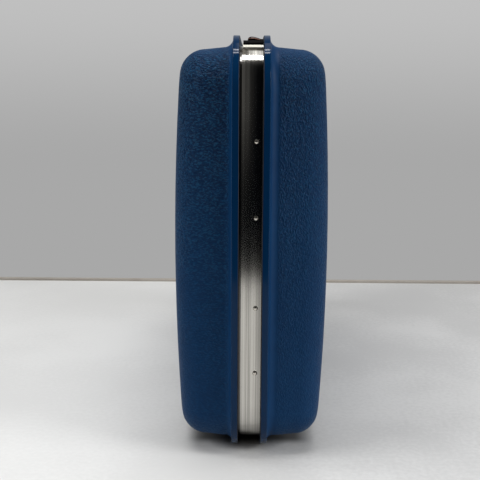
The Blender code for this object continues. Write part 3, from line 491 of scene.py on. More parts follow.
def soften(piece, width, segments=2, angle=SOFT_ANGLE):
    """Round the edges of a piece that are sharper than an angle."""
    apply_modifier(piece, "BEVEL", width=width, segments=segments, limit_method="ANGLE",
                   angle_limit=angle)


def settle(piece, angle=SOFT_ANGLE):
    """Merge doubles, point the faces outwards and shade smooth below an angle."""
    edit(piece, "VERT")
    bpy.ops.mesh.remove_doubles(threshold=TINY)
    bpy.ops.mesh.normals_make_consistent(inside=False)
    close(piece)
    bpy.ops.object.shade_smooth_by_angle(angle=angle)


def outline_panel(x, inset):
    """An upright panel with the lips' outline at an inset, left open with its face selected."""
    bpy.ops.object.select_all(action="DESELECT")
    bpy.ops.mesh.primitive_plane_add(size=1, location=(x, 0, MIDDLE_Z),
                                     rotation=(0, math.pi / 2, 0))
    panel = bpy.context.object
    panel.scale = (CASE_HEIGHT - 2 * inset, CASE_LENGTH - 2 * inset, 1)
    bpy.ops.object.transform_apply()
    edit(panel, "VERT")
    bpy.ops.mesh.bevel(offset=LIP_CORNER_RADIUS - inset, segments=CORNER_SEGMENTS,
                       affect="VERTICES")
    close(panel)
    for cuts, low, high in SIDE_CUTS:
        choose(panel, "EDGE", lambda side: low < edge_length(panel, side) < high)
        bpy.ops.mesh.subdivide(number_cuts=cuts)
        close(panel)
    choose(panel, "FACE", lambda face: True)
    bpy.ops.mesh.dissolve_faces()
    return panel


def edge_length(piece, side):
    """How long one edge of a piece is."""
    first, second = (piece.data.vertices[index].co for index in side.vertices)
    return (first - second).length


def arc(first_centre, second_centre, radius, start, end, steps):
    """Points on an arc, with angles in degrees from the first coordinate's way to the second's."""
    points = []
    for step in range(steps + 1):
        angle = math.radians(start + (end - start) * step / steps)
        points.append((first_centre + radius * math.cos(angle),
                       second_centre + radius * math.sin(angle)))
    return points


def walk(points):
    """Carry the selected face along (x, inset) points, so that each leaves a ring behind it."""
    for (x, inset), (next_x, next_inset) in zip(points, points[1:]):
        if next_inset - inset < TINY:
            extrude(next_x - x, 0, 0)
        else:
            bpy.ops.mesh.inset(thickness=next_inset - inset, depth=next_x - x,
                               use_even_offset=True, use_boundary=True)


def walk_to_middle(x, shares):
    """Draw the selected face in towards the middle of the case, and close it there."""
    for share, last in zip(shares[1:], shares):
        bpy.ops.mesh.extrude_region()
        bpy.ops.transform.resize(value=(1, share / last, share / last),
                                 center_override=(x, 0, MIDDLE_Z))
    bpy.ops.mesh.merge(type="CENTER")


def crown_drop(y, z):
    """How far a shell's face falls back from its crown at a place."""
    end_share = y / (CASE_LENGTH / 2 - LIP_HEIGHT)
    edge_share = (z - MIDDLE_Z) / (CASE_HEIGHT / 2 - LIP_HEIGHT)
    return END_CROWN * end_share ** 2 + EDGE_CROWN * edge_share ** 2


def outline_place(y, z, inset=None, corner_radius=LIP_CORNER_RADIUS):
    """Move a place of the lips' outline to another inset, or another corner radius, along it."""
    across = abs(y)
    up = abs(z - MIDDLE_Z)
    half_y = CASE_LENGTH / 2
    half_z = CASE_HEIGHT / 2
    straight_y = half_y - LIP_CORNER_RADIUS
    straight_z = half_z - LIP_CORNER_RADIUS
    past_y = across - straight_y
    past_z = up - straight_z
    in_corner = past_y > 0 and past_z > 0
    if inset is None:
        inset = min(half_y - across, half_z - up)
        if in_corner:
            inset = LIP_CORNER_RADIUS - math.hypot(past_y, past_z)
    radius = max(corner_radius - inset, CENTRE_RADIUS_SHARE * (half_z - inset))
    new_y = half_y - inset - radius
    new_z = half_z - inset - radius
    if in_corner:
        turn = math.atan2(past_z, past_y)
        across = new_y + radius * math.cos(turn)
        up = new_z + radius * math.sin(turn)
    elif past_y > past_z:
        across = half_y - inset
        up *= new_z / straight_z
    else:
        across *= new_y / straight_y
        up = half_z - inset
    return math.copysign(across, y), MIDDLE_Z + math.copysign(up, z - MIDDLE_Z)


def share_between(value, low, high):
    """How far a value is from low to high, held between 0 and 1."""
    return min(max((value - low) / (high - low), 0), 1)


def shell_side(points, wall_start, wall_end, widening_of):
    """A skin through (x, inset) points, closed by a crowned face.

    A widening of 1 at an x gives the corners there the wall's radius instead of the lips'.
    """
    panel = outline_panel(points[0][0], points[0][1])
    walk(points)
    close(panel)
    for vertex in panel.data.vertices:
        x, y, z = vertex.co
        radius = LIP_CORNER_RADIUS - (LIP_CORNER_RADIUS - WALL_CORNER_RADIUS) * widening_of(x)
        vertex.co.yz = outline_place(y, z, corner_radius=radius)
    last_x = points[-1][0]
    choose(panel, "FACE", lambda face: len(face.vertices) > 4)
    walk_to_middle(last_x, FACE_SHARES)
    close(panel)
    for vertex in panel.data.vertices:
        x, y, z = vertex.co
        vertex.co.x = x - share_between(x, wall_start, wall_end) * crown_drop(y, z)
    return panel


def edge_arc(depth, offset, steps):
    """From the wall round a shell's edge to its face, at an offset inside its outer surface."""
    edge_inset = LIP_HEIGHT + WALL_DRAW_IN + EDGE_RADIUS
    return arc(depth - EDGE_RADIUS, edge_inset, EDGE_RADIUS - offset, -90, 0, steps)


def in_steps(start, end, count):
    """Points from a start, left out, to an end."""
    return [tuple(a + (b - a) * step / count for a, b in zip(start, end))
            for step in range(1, count + 1)]


def outer_skin(depth):
    """The outside of a shell: the lip's outer half, its fillet, the wall, the edge and the face."""
    fillet_end = LIP_OUT_X + LIP_FILLET
    fillet = arc(fillet_end, LIP_HEIGHT - LIP_FILLET, LIP_FILLET, 180, 90, FILLET_STEPS)
    points = arc(LIP_OUT_X - LIP_TIP_RADIUS, LIP_TIP_RADIUS, LIP_TIP_RADIUS, -90, 0, TIP_STEPS)
    points += in_steps(points[-1], fillet[0], 2) + fillet[1:]
    edge = edge_arc(depth, 0, EDGE_STEPS)
    points += in_steps(points[-1], edge[0], 4) + edge[1:]
    return shell_side(points, fillet_end, depth - EDGE_RADIUS,
                      lambda x: math.degrees(math.acos(
                          1 - share_between(x, LIP_OUT_X, fillet_end))) / 90)


def inner_skin(points, depth, offset):
    """The inside of a shell, on from the given points, at an offset from its outer surface."""
    wall_end = depth - EDGE_RADIUS
    edge = edge_arc(depth, offset, INNER_EDGE_STEPS)
    points = points + in_steps(points[-1], edge[0], 3) + edge[1:]
    return shell_side(points, LIP_OUT_X, wall_end,
                      lambda x: share_between(x, LIP_OUT_X, wall_end))


def put_on_side(skin, side):
    """Put a skin that was made towards +X on its own side of the plane between the lips."""
    for vertex in skin.data.vertices:
        vertex.co.x = side * vertex.co.x + MIDDLE_X
    settle(skin)


def make_shell(name, side, depth, collar, body, finish):
    """One shell in one closed skin: crowned face, wall, fillet, lip, and an even wall inside."""
    outer = outer_skin(depth)
    inside = arc(LIP_IN_X + LIP_TIP_RADIUS, LIP_TIP_RADIUS, LIP_TIP_RADIUS, -90, -180, TIP_STEPS)
    inside += collar
    inside.append((LIP_OUT_X, LIP_HEIGHT + WALL))
    inner = inner_skin(inside, depth, WALL)
    pick(inner, outer)
    bpy.ops.object.join()
    shell = bpy.context.object
    edit(shell, "EDGE")
    bpy.ops.mesh.select_non_manifold(extend=False)
    bpy.ops.mesh.bridge_edge_loops()
    close(shell)
    put_on_side(shell, side)
    return name_piece(shell, name, body, finish, "shell", name.replace("_skin", ""))


def flatten_shading(piece):
    """Let broad faces set the shading, so that a flat lip stays flat up to its round edges."""
    apply_modifier(piece, "WEIGHTED_NORMAL", keep_sharp=True, weight=50)


LID_COLLAR_DRAFT = 0.0001
body_collar = [(LIP_IN_X, NECK_INSET), (NECK_END_X, NECK_INSET),
               (NECK_END_X, NECK_INNER_INSET), (LIP_IN_X, NECK_INNER_INSET)]
lid_collar = [(LIP_IN_X, LIP_HEIGHT + WALL - LID_COLLAR_DRAFT)]
body_skin = make_shell("body_shell_skin", 1, BODY_DEPTH, body_collar, "body", BODY_LEATHER)
lid_skin = make_shell("lid_shell_skin", -1, LID_DEPTH, lid_collar, "lid", LID_LEATHER)
flatten_shading(lid_skin)


def carried_round(section, side=1):
    """A closed section of (x, inset) points, carried round the lips' outline as one piece."""
    panel = outline_panel(0, 0)
    bpy.ops.mesh.delete(type="ONLY_FACE")
    bpy.ops.mesh.select_mode(type="EDGE")
    bpy.ops.mesh.select_all(action="SELECT")
    for _ in section:
        extrude(1, 0, 0)
    close(panel)
    for vertex in panel.data.vertices:
        x, inset = section[round(vertex.co.x) % len(section)]
        y, z = outline_place(vertex.co.y, vertex.co.z, inset)
        vertex.co = (side * x + MIDDLE_X, y, z)
    settle(panel)
    return panel


def cut_out(piece, low, high):
    """Cut a straight opening between two corners out of a piece."""
    cutter = block((Vector(low) + Vector(high)) / 2, Vector(high) - Vector(low))
    apply_modifier(piece, "BOOLEAN", object=cutter, operation="DIFFERENCE", solver="EXACT")
    bpy.data.objects.remove(cutter)


POST_DISTANCE = 0.085
SLOT_HALF_X = 0.0016
SLOT_HALF_Y = 0.0055
SLOT_LOW_Z = 0.480
SLOT_HIGH_Z = 0.495


def cut_post_slots(piece):
    """The two openings that the handle's posts slide through."""
    middle_x = RIVET_LINE_X + MIDDLE_X
    for middle_y in (-POST_DISTANCE, POST_DISTANCE):
        cut_out(piece, (middle_x - SLOT_HALF_X, middle_y - SLOT_HALF_Y, SLOT_LOW_Z),
                (middle_x + SLOT_HALF_X, middle_y + SLOT_HALF_Y, SLOT_HIGH_Z))


BAND_COLUMNS = 44
SEAM_HALF_Y = 0.00025
SEAM_CUT_REACH = 0.02
CUT_PAST = 0.001


def make_band():
    """The band on the body's neck: a bent strip whose outer face swells faintly in the middle."""
    section = []
    for column in range(BAND_COLUMNS + 1):
        share = column / BAND_COLUMNS
        x = BAND_LEFT_X + (BAND_RIGHT_X - BAND_LEFT_X) * share
        section.append((x, BAND_INSET - BAND_SWELL * (1 - (2 * share - 1) ** 2)))
    section += [(BAND_RIGHT_X, BAND_INSET + BAND_THICKNESS),
                (BAND_LEFT_X, BAND_INSET + BAND_THICKNESS)]
    band = carried_round(section)
    cut_post_slots(band)
    cut_out(band, (-SEAM_CUT_REACH, -SEAM_HALF_Y, -CUT_PAST),
            (SEAM_CUT_REACH, SEAM_HALF_Y, SEAM_CUT_REACH))
    settle(band)
    return name_piece(band, "band_strip", "body", BAND_METAL, "band", "body_band")


make_band()
cut_post_slots(body_skin)
settle(body_skin)
flatten_shading(body_skin)


# The lid's frame, with its distances from the middle plane going towards the lid
FRAME_THICKNESS = 0.0012
TONGUE_END_X = 0.0020
TONGUE_INSET = 0.0123
RISER_X = 0.0135
FLANGE_END_X = 0.0209
FLANGE_INSET = 0.0173


def make_lid_frame():
    """The lid's metal frame: a flange inside the shell, a riser and a tongue under the band."""
    inner_riser_x = RISER_X - FRAME_THICKNESS
    inner_flange_inset = FLANGE_INSET + FRAME_THICKNESS
    inner_tongue_inset = TONGUE_INSET + FRAME_THICKNESS
    section = [(TONGUE_END_X, TONGUE_INSET), (RISER_X, TONGUE_INSET), (RISER_X, FLANGE_INSET),
               (FLANGE_END_X, FLANGE_INSET), (FLANGE_END_X, inner_flange_inset),
               (inner_riser_x, inner_flange_inset), (inner_riser_x, inner_tongue_inset),
               (TONGUE_END_X, inner_tongue_inset)]
    piece = carried_round(section, side=-1)
    soften(piece, 0.0003)
    bpy.ops.object.shade_smooth_by_angle(angle=SOFT_ANGLE)
    return name_piece(piece, "lid_frame_strip", "lid", FRAME_METAL, "frame", "lid_frame")


make_lid_frame()


RIVET_SIDES = 28
RIVET_RIM = 0.0002
RIVET_STEPS = 8


def make_rivet_head():
    """A domed rivet head on the world's origin, facing up."""
    head = open_disc(RIVET_SIDES, RIVET_RADIUS)
    extrude(0, 0, RIVET_RIM)
    rise = RIVET_HEIGHT - RIVET_RIM
    for step in range(RIVET_STEPS - 1):
        start = math.pi / 2 * step / RIVET_STEPS
        end = math.pi / 2 * (step + 1) / RIVET_STEPS
        bpy.ops.mesh.inset(thickness=RIVET_RADIUS * (math.cos(start) - math.cos(end)),
                           depth=rise * (math.sin(end) - math.sin(start)), use_even_offset=True)
    bpy.ops.mesh.poke(offset=rise * (1 - math.sin(math.pi / 2 * (RIVET_STEPS - 1) / RIVET_STEPS)))
    settle(head, math.radians(50))
    return head


rivet_head = make_rivet_head()


def place_rivet(node, body):
    """A copy of the rivet head where a CAD rivet shows."""
    low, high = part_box(node)
    middle = (low + high) / 2
    if node.startswith("top"):
        spot = Vector((middle.x, middle.y, CASE_HEIGHT - BAND_INSET + RIVET_SEAT))
        turn = Matrix.Identity(4)
    else:
        side = math.copysign(1, middle.y)
        spot = Vector((middle.x, side * (CASE_LENGTH / 2 - BAND_INSET + RIVET_SEAT), middle.z))
        turn = Matrix.Rotation(-side * math.pi / 2, 4, "X")
    pick(rivet_head)
    bpy.ops.object.duplicate()
    rivet = bpy.context.object
    rivet.data.transform(Matrix.Translation(spot) @ turn)
    return name_piece(rivet, f"{node}_head", body, RIVET_METAL, "rivet", node)


for end in ("near", "far"):
    for number in range(1, END_RIVETS + 1):
        place_rivet(f"{end}_end_rivet_{number}", "body")
    place_rivet(f"top_rivet_{end}", "body")
bpy.data.objects.remove(rivet_head)


CAD_DOUBLES = 0.00001
CAD_FLAT_ANGLE = math.radians(1)


def refined(node, body, finish, slot, width=0.0003, segments=2):
    """A CAD node's own shape in clean faces, with its edges softened."""
    piece = bpy.data.objects.new(node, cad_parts[node].data.copy())
    bpy.context.scene.collection.objects.link(piece)
    pick(piece)
    bpy.ops.mesh.customdata_custom_splitnormals_clear()
    edit(piece, "VERT")
    bpy.ops.mesh.remove_doubles(threshold=CAD_DOUBLES)
    bpy.ops.mesh.dissolve_limited(angle_limit=CAD_FLAT_ANGLE)
    close(piece)
    soften(piece, width, segments)
    bpy.ops.object.shade_smooth_by_angle(angle=SOFT_ANGLE)
    return name_piece(piece, f"{node}_piece", body, finish, slot, node)


def loft(rings):
    """A closed skin through rings of equal length: a disc drawn out ring by ring, then shaped."""
    count = len(rings[0])
    piece = open_disc(count, 1)
    for _ in rings[1:]:
        extrude(0, 0, 1)
    close(piece)
    for vertex in piece.data.vertices:
        turn = math.atan2(vertex.co.x, vertex.co.y) / math.tau
        vertex.co = rings[round(vertex.co.z)][round(turn * count) % count]
    settle(piece)
    return piece


def smooth_line(points, steps):
    """Points on a soft curve through the given ones."""
    line = []
    for index in range(len(points) - 1):
        before = Vector(points[max(index - 1, 0)])
        start = Vector(points[index])
        end = Vector(points[index + 1])
        after = Vector(points[min(index + 2, len(points) - 1)])
        for step in range(steps):
            t = step / steps
            line.append(0.5 * (2 * start + (end - before) * t
                               + (2 * before - 5 * start + 4 * end - after) * t ** 2
                               + (3 * start - before - 3 * end + after) * t ** 3))
    line.append(Vector(points[-1]))
    return line


# Latches, whose moving pieces ride on top of the base
RIDE_Z = 0.4947
LEVER_TOP_SHARES = ((0, 0.2), (0.02, 0.45), (0.06, 0.65), (0.11, 0.78), (0.25, 0.90), (0.40, 0.88),
                    (0.63, 0.72), (0.82, 0.55))
LEVER_BARREL = 0.0016
BARREL_STEPS = 14
LEVER_END = 0.0060
LEVER_END_STEPS = 10
LEVER_END_SHARE = 0.12


def make_lever(end):
    """A latch's lever: a domed cover whose ends round down to the base."""
    node = f"latch_lever_{end}"
    low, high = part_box(node)
    axis_x = high.x - LEVER_BARREL
    width = axis_x - low.x
    top = [(low.x + x * width, RIDE_Z + z * (CASE_HEIGHT - RIDE_Z)) for x, z in LEVER_TOP_SHARES]
    barrel = arc(axis_x, RIDE_Z, LEVER_BARREL, 80, -180, BARREL_STEPS)
    outline = [Vector((low.x, RIDE_Z))] + smooth_line(top + barrel[:1], 4)
    outline += [Vector(place) for place in barrel[1:]]
    rings = []
    for step in range(LEVER_END_STEPS + 1):
        turn = math.pi / 2 * step / LEVER_END_STEPS
        rings.append((LEVER_END * (1 - math.cos(turn)),
                      LEVER_END_SHARE + (1 - LEVER_END_SHARE) * math.sin(turn)))
    rings += [(high.y - low.y - past, height) for past, height in rings[::-1]]
    skin = []
    for past, height in rings:
        ring = []
        for point in outline:
            rise = point.y - RIDE_Z
            ring.append((point.x, low.y + past, RIDE_Z + rise * (height if rise > 0 else 1)))
        skin.append(ring)
    piece = loft(skin)
    soften(piece, 0.0002, angle=math.radians(50))
    bpy.ops.object.shade_smooth_by_angle(angle=math.radians(45))
    return name_piece(piece, f"{node}_cover", f"lever_{end}", LEVER_METAL, "lever", node)


POST_SIDES = 40
LOCK_RADIUS = 0.0048
LOCK_STEPS = ((0.0005, 0), (0.0003, 0.0002), (0.0002, 0.0005), (-0.0003, 0.0004), (0.0, 0.0002),
              (0.00032, 0.00012))
LOCK_CORE_RADIUS = 0.0040
LOCK_CORE_OVERLAP = 0.0001
LOCK_CORE_INSET = 0.0004
KEYWAY_HALF_X = 0.00045
KEYWAY_HALF_Y = 0.0024
KEYWAY_DEPTH = 0.0006
KEYWAY_REACH = 0.003


def round_post(place, radius, steps):
    """A round piece facing up, walked through (rise, inward) steps from a filled circle."""
    piece = open_disc(POST_SIDES, radius, place)
    extrude(0, 0, steps[0][0])
    for rise, inward in steps[1:]:
        bpy.ops.mesh.inset(thickness=inward, depth=rise, use_even_offset=True)
    close(piece)
    return piece


def make_lock(end):
    """A key cylinder with a bevelled rim, a ringed plug and a keyway."""
    node = f"latch_lock_{end}"
    low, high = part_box(node)
    middle = (low + high) / 2
    piece = round_post((middle.x, middle.y, RIDE_Z), LOCK_RADIUS, LOCK_STEPS)
    settle(piece)
    cut_out(piece, (middle.x - KEYWAY_HALF_X, middle.y - KEYWAY_HALF_Y, RIDE_Z - KEYWAY_DEPTH),
            (middle.x + KEYWAY_HALF_X, middle.y + KEYWAY_HALF_Y, RIDE_Z + KEYWAY_REACH))
    settle(piece, math.radians(30))
    core = round_post((middle.x, middle.y, low.z), LOCK_CORE_RADIUS,
                      ((RIDE_Z - low.z + LOCK_CORE_OVERLAP, 0), (0.0, LOCK_CORE_INSET)))
    settle(core, math.radians(30))
    pick(core, piece)
    bpy.ops.object.join()
    return name_piece(piece, f"{node}_cylinder", f"lock_{end}", LOCK_METAL, "lock", node)


BUTTON_RIM = 0.0012
BUTTON_DISH_SLOPE = 0.0006
BUTTON_DISH_DEPTH = 0.0005
BUTTON_ROUNDING = 0.00045
RIB_RADIUS = 0.0004
RIB_LENGTH = 0.0066
RIB_PITCH = 0.0013
STEM_WIDTH = 0.004
STEM_OVERLAP = 0.0004


def make_button(end):
    """A thumb pad with soft edges, a shallow dish and three ribs across it."""
    node = f"latch_button_{end}"
    low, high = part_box(node)
    middle = (low + high) / 2
    pad = block((middle.x, middle.y, (RIDE_Z + high.z) / 2),
                (high.x - low.x, high.y - low.y, high.z - RIDE_Z))
    choose(pad, "FACE", lambda face: face.normal.z > 0.9)
    bpy.ops.mesh.inset(thickness=BUTTON_RIM, depth=0, use_even_offset=True)
    bpy.ops.mesh.inset(thickness=BUTTON_DISH_SLOPE, depth=-BUTTON_DISH_DEPTH, use_even_offset=True)
    close(pad)
    soften(pad, BUTTON_ROUNDING, 4, math.radians(30))
    ribs = []
    for rib in (-1, 0, 1):
        bpy.ops.object.select_all(action="DESELECT")
        bpy.ops.mesh.primitive_cylinder_add(
            vertices=16, radius=RIB_RADIUS, depth=RIB_LENGTH, rotation=(0, math.pi / 2, 0),
            location=(middle.x, middle.y + rib * RIB_PITCH, high.z - BUTTON_DISH_DEPTH))
        ribs.append(bpy.context.object)
    stem = block((middle.x, middle.y, (low.z + RIDE_Z + STEM_OVERLAP) / 2),
                 (STEM_WIDTH, STEM_WIDTH, RIDE_Z - low.z + STEM_OVERLAP))
    pick(*ribs, stem, pad)
    bpy.ops.object.join()
    bpy.ops.object.shade_smooth_by_angle(angle=SOFT_ANGLE)
    return name_piece(pad, f"{node}_pad", f"button_{end}", LOCK_METAL, "lock", node)


LATCH_START = 0.189
LATCH_TURN = math.radians(27)
LATCH_TURN_STEPS = 8
SEAT_PAST_LEFT = 0.0004
SEAT_PAST_RIGHT = 0.0002
SEAT_RISE = 0.0004
SEAT_THICKNESS = 0.0017
SEAT_CHAMFER = 0.0004


def make_latch_seat(end, side):
    """A pale strip under a latch's base, bent over the band's corner with it."""
    base_low, base_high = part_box(f"latch_base_{end}")
    corner_y = CASE_LENGTH / 2 - LIP_CORNER_RADIUS
    corner_z = CASE_HEIGHT - LIP_CORNER_RADIUS
    left = base_low.x - SEAT_PAST_LEFT
    right = base_high.x + SEAT_PAST_RIGHT
    low = LIP_CORNER_RADIUS - BAND_INSET + SEAT_RISE
    high = low + SEAT_THICKNESS
    section = ((left, low), (right, low), (right, high - SEAT_CHAMFER),
               (right - SEAT_CHAMFER, high), (left + SEAT_CHAMFER, high),
               (left, high - SEAT_CHAMFER))
    rings = [[(x, side * LATCH_START, corner_z + radius) for x, radius in section]]
    for step in range(LATCH_TURN_STEPS + 1):
        angle = LATCH_TURN * step / LATCH_TURN_STEPS
        rings.append([(x, side * (corner_y + radius * math.sin(angle)),
                       corner_z + radius * math.cos(angle)) for x, radius in section])
    strip = loft(rings)
    name_piece(strip, f"latch_seat_{end}", "body", SEAT_PALE_STRIP, "latch_base")


for end, side in (("near", -1), ("far", 1)):
    refined(f"latch_base_{end}", "body", LATCH_PLASTIC, "latch_base", 0.0005, 3)
    make_latch_seat(end, side)
    refined(f"latch_pin_{end}", "body", LOCK_METAL, "lock", 0.0001)
    refined(f"latch_strike_{end}", "lid", LOCK_METAL, "lock")
    make_lever(end)
    make_lock(end)
    make_button(end)
    refined(f"hinge_body_leaf_{end}", "body", HINGE_METAL, "hinge", 0.0002)
    refined(f"hinge_lid_leaf_{end}", "lid", HINGE_METAL, "hinge", 0.0002)
    refined(f"hinge_pin_{end}", "body", HINGE_METAL, "hinge", 0.0001)
    refined(f"handle_end_{end}", "handle", HANDLE_METAL, "handle_metal", 0.0004, 3)
    refined(f"handle_plate_{end}", "body", HANDLE_METAL, "handle_metal")
    refined(f"handle_guide_{end}", "body", GUIDE_PLASTIC, "guide")
    refined(f"strap_buckle_{end}", "body", BUCKLE_PLASTIC, "buckle", 0.0015, 4)
    for level in ("low", "high"):
        refined(f"strap_anchor_{end}_{level}", "body", BUCKLE_PLASTIC, "buckle", 0.0006, 3)
refined("band_splice", "body", BAND_METAL, "band")


# Handle grip. Its bow is how far the ends hang below the middle
GRIP_HALF_HEIGHT = 0.0022
GRIP_BOW = 0.0004
GRIP_SIDES = 40
GRIP_STATIONS = 56
GRIP_SEAM = 0.0063
GRIP_SEAM_WIDTH = 0.0005
GRIP_SEAM_SHARE = 0.16
GRIP_PINCH_SHARE = 0.16
GRIP_CROWN_SHARE = 0.22
STITCHES = 34
STITCH_LENGTH = 0.0024
STITCH_HALF_WIDTH = 0.00028
STITCH_HALF_HEIGHT = 0.00022
STITCH_SIDES = 6
STITCH_STEPS = 4
STITCH_LIFT = 0.0001
STITCH_SINK = 0.00062
STITCH_END_GAP = 0.004


def squared(part, power):
    """A sine or cosine with its sign kept, raised so that a circle turns into a squarer form."""
    return math.copysign(abs(part) ** power, part)


def make_grip():
    """The padded grip: a stuffed hide strap, thinner at its ends, with a seam down each side."""
    low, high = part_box("handle_grip")
    middle_x = (low.x + high.x) / 2
    half_x = (high.x - low.x) / 2
    rings = []
    for station in range(GRIP_STATIONS + 1):
        share = 2 * station / GRIP_STATIONS - 1
        end_pinch = 1 - GRIP_PINCH_SHARE * abs(share) ** 8
        middle_z = high.z - GRIP_HALF_HEIGHT - GRIP_BOW * share ** 2
        ring = []
        for index in range(GRIP_SIDES):
            angle = math.tau * (index + 0.5) / GRIP_SIDES
            x = squared(math.cos(angle), 0.55) * half_x * end_pinch
            seam = math.exp(-((abs(x) - GRIP_SEAM) / GRIP_SEAM_WIDTH) ** 2)
            crown = 1 - GRIP_CROWN_SHARE * (x / half_x) ** 4 - GRIP_SEAM_SHARE * seam
            rise = squared(math.sin(angle), 0.7) * GRIP_HALF_HEIGHT * crown * end_pinch
            ring.append((middle_x + x, low.y + (high.y - low.y) * station / GRIP_STATIONS,
                         middle_z + rise))
        rings.append(ring)
    grip = loft(rings)
    name_piece(grip, "handle_grip_pad", "handle", HANDLE_HIDE, "handle_pad", "handle_grip")

    stitch_rings = []
    for step in range(STITCH_STEPS + 1):
        share = step / STITCH_STEPS
        swell = math.sin(math.pi * (0.12 + 0.76 * share))
        turns = [math.tau * index / STITCH_SIDES for index in range(STITCH_SIDES)]
        stitch_rings.append([(STITCH_HALF_WIDTH * swell * math.cos(turn),
                              STITCH_LENGTH * (share - 0.5),
                              STITCH_HALF_HEIGHT * swell * math.sin(turn) + STITCH_LIFT * swell)
                             for turn in turns])
    stitch = loft(stitch_rings)
    stitches = []
    for side in (-1, 1):
        for index in range(STITCHES):
            share = 2 * (index + 0.5) / STITCHES - 1
            copy = bpy.data.objects.new("stitch", stitch.data.copy())
            bpy.context.scene.collection.objects.link(copy)
            copy.location = (middle_x + side * GRIP_SEAM, share * (high.y - STITCH_END_GAP),
                             high.z - GRIP_BOW * share ** 2 - STITCH_SINK)
            stitches.append(copy)
    bpy.data.objects.remove(stitch)
    pick(*stitches)
    bpy.ops.object.join()
    bpy.ops.object.transform_apply()
    name_piece(bpy.context.object, "handle_grip_stitches", "handle", THREAD, "handle_pad")


make_grip()


# Linings and their piping
LINING_GAP = 0.0003
LINING_THICKNESS = 0.0008
PIPING_RADIUS = 0.0011
PIPING_SIDES = 10
PIPING_PAST_LIP = 0.0012
PIPING_PAST_WALL = 0.0025


def make_lining(name, side, depth, body):
    """A shell's lining: a thin padded skin over the inside, with piping round its edge."""
    offset = WALL + LINING_GAP
    piece = inner_skin([(LIP_OUT_X, LIP_HEIGHT + offset)], depth, offset)
    put_on_side(piece, side)
    apply_modifier(piece, "SOLIDIFY", thickness=LINING_THICKNESS, offset=-1, use_even_offset=True)
    bpy.ops.object.shade_smooth_by_angle(angle=SOFT_ANGLE)
    name_piece(piece, f"{name}_cloth", body, LINING_CLOTH, "lining", name)
    section = arc(LIP_OUT_X + PIPING_PAST_LIP, LIP_HEIGHT + WALL + PIPING_PAST_WALL, PIPING_RADIUS,
                  0, 360, PIPING_SIDES)
    piping = carried_round(section[:-1], side)
    name_piece(piping, f"{name}_piping", body, PIPING_CLOTH, "lining")


make_lining("body_lining", 1, BODY_DEPTH, "body")
make_lining("lid_lining", -1, LID_DEPTH, "lid")


# Packing straps. Each point of a section has its rise from the back and a share of half the width
STRAP_GAP = 0.0007
STRAP_OUTER_Y = 0.1325
STRAP_STATIONS = 60
STRAP_RISES_AND_SHARES = ((0, -1), (0, 1), (0.0003, 1), (0.0011, 1), (0.0014, 0.94),
                          (0.0014, -0.94), (0.0011, -1), (0.0003, -1))


def make_strap(end):
    """A packing strap: a webbing band laid down the lined face, with its edges softly rounded."""
    node = f"packing_strap_{end}"
    low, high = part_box(node)
    face = BODY_DEPTH - WALL - LINING_GAP - LINING_THICKNESS - STRAP_GAP
    half = (high.y - low.y) / 2
    rings = []
    for station in range(STRAP_STATIONS + 1):
        z = low.z + (high.z - low.z) * station / STRAP_STATIONS
        back = face - crown_drop(STRAP_OUTER_Y, z) + MIDDLE_X
        rings.append([(back - rise, (low.y + high.y) / 2 + half_share * half, z)
                      for rise, half_share in STRAP_RISES_AND_SHARES])
    strap = loft(rings)
    name_piece(strap, f"{node}_webbing", "body", STRAP_WEBBING, "strap", node)


for end in ("near", "far"):
    make_strap(end)


# Table and room
TABLE_FRONT = -1.24
TABLE_BACK = 0.58
TABLE_WIDTH = 3.2
TABLE_THICKNESS = 0.03
RAIL_WIDTH = 0.01
RAIL_HEIGHT = 0.034
RAIL_MIDDLE_Z = -0.012


def table_finish():
    """A pale top, darker to the right with painted shade, and a painted shadow where the case keeps
    the light out.
    """
    finish, place = new_finish("table_top")
    cloud = finish.noise(place, 3.5, 3)
    speck = finish.noise(place, 160, 3)
    # Painted shade: the top darkens towards the right, away from the light
    across = finish.step(finish.axis(place, "X"), -0.3, 0.35)
    shade = finish.blend(across, colour(214, 214, 213), colour(188, 188, 188))
    top = finish.blend(finish.step(cloud * 0.7 + speck * 0.3, 0.4, 0.62) * 0.25, shade,
                       colour(240, 240, 239))
    # Painted shadow: a dark patch beneath the case
    painted_shadow_beneath = (finish.step(abs(finish.axis(place, "X")), 0.085, 0.055)
               * finish.step(abs(finish.axis(place, "Y")), 0.285, 0.262))
    top = finish.blend(painted_shadow_beneath, top, colour(90, 90, 90))
    return finish.surface(Base_Color=top, Roughness=0.45 + 0.1 * speck)


def rail_finish():
    """Dull paint with faint clouds."""
    finish, place = new_finish("rail")
    shade = finish.blend(finish.noise(place, 30, 3), colour(150, 143, 134),
                         colour(166, 160, 152))
    return finish.surface(Base_Color=shade, Roughness=0.6)


def stage_slab(name, middle_y, middle_z, length, thickness, finish):
    """A slab of the stage, as wide as the table."""
    slab = block((0, middle_y, middle_z), (TABLE_WIDTH, length, thickness))
    soften(slab, 0.0015, 3)
    slab.name = name
    slab.data.materials.append(finish)


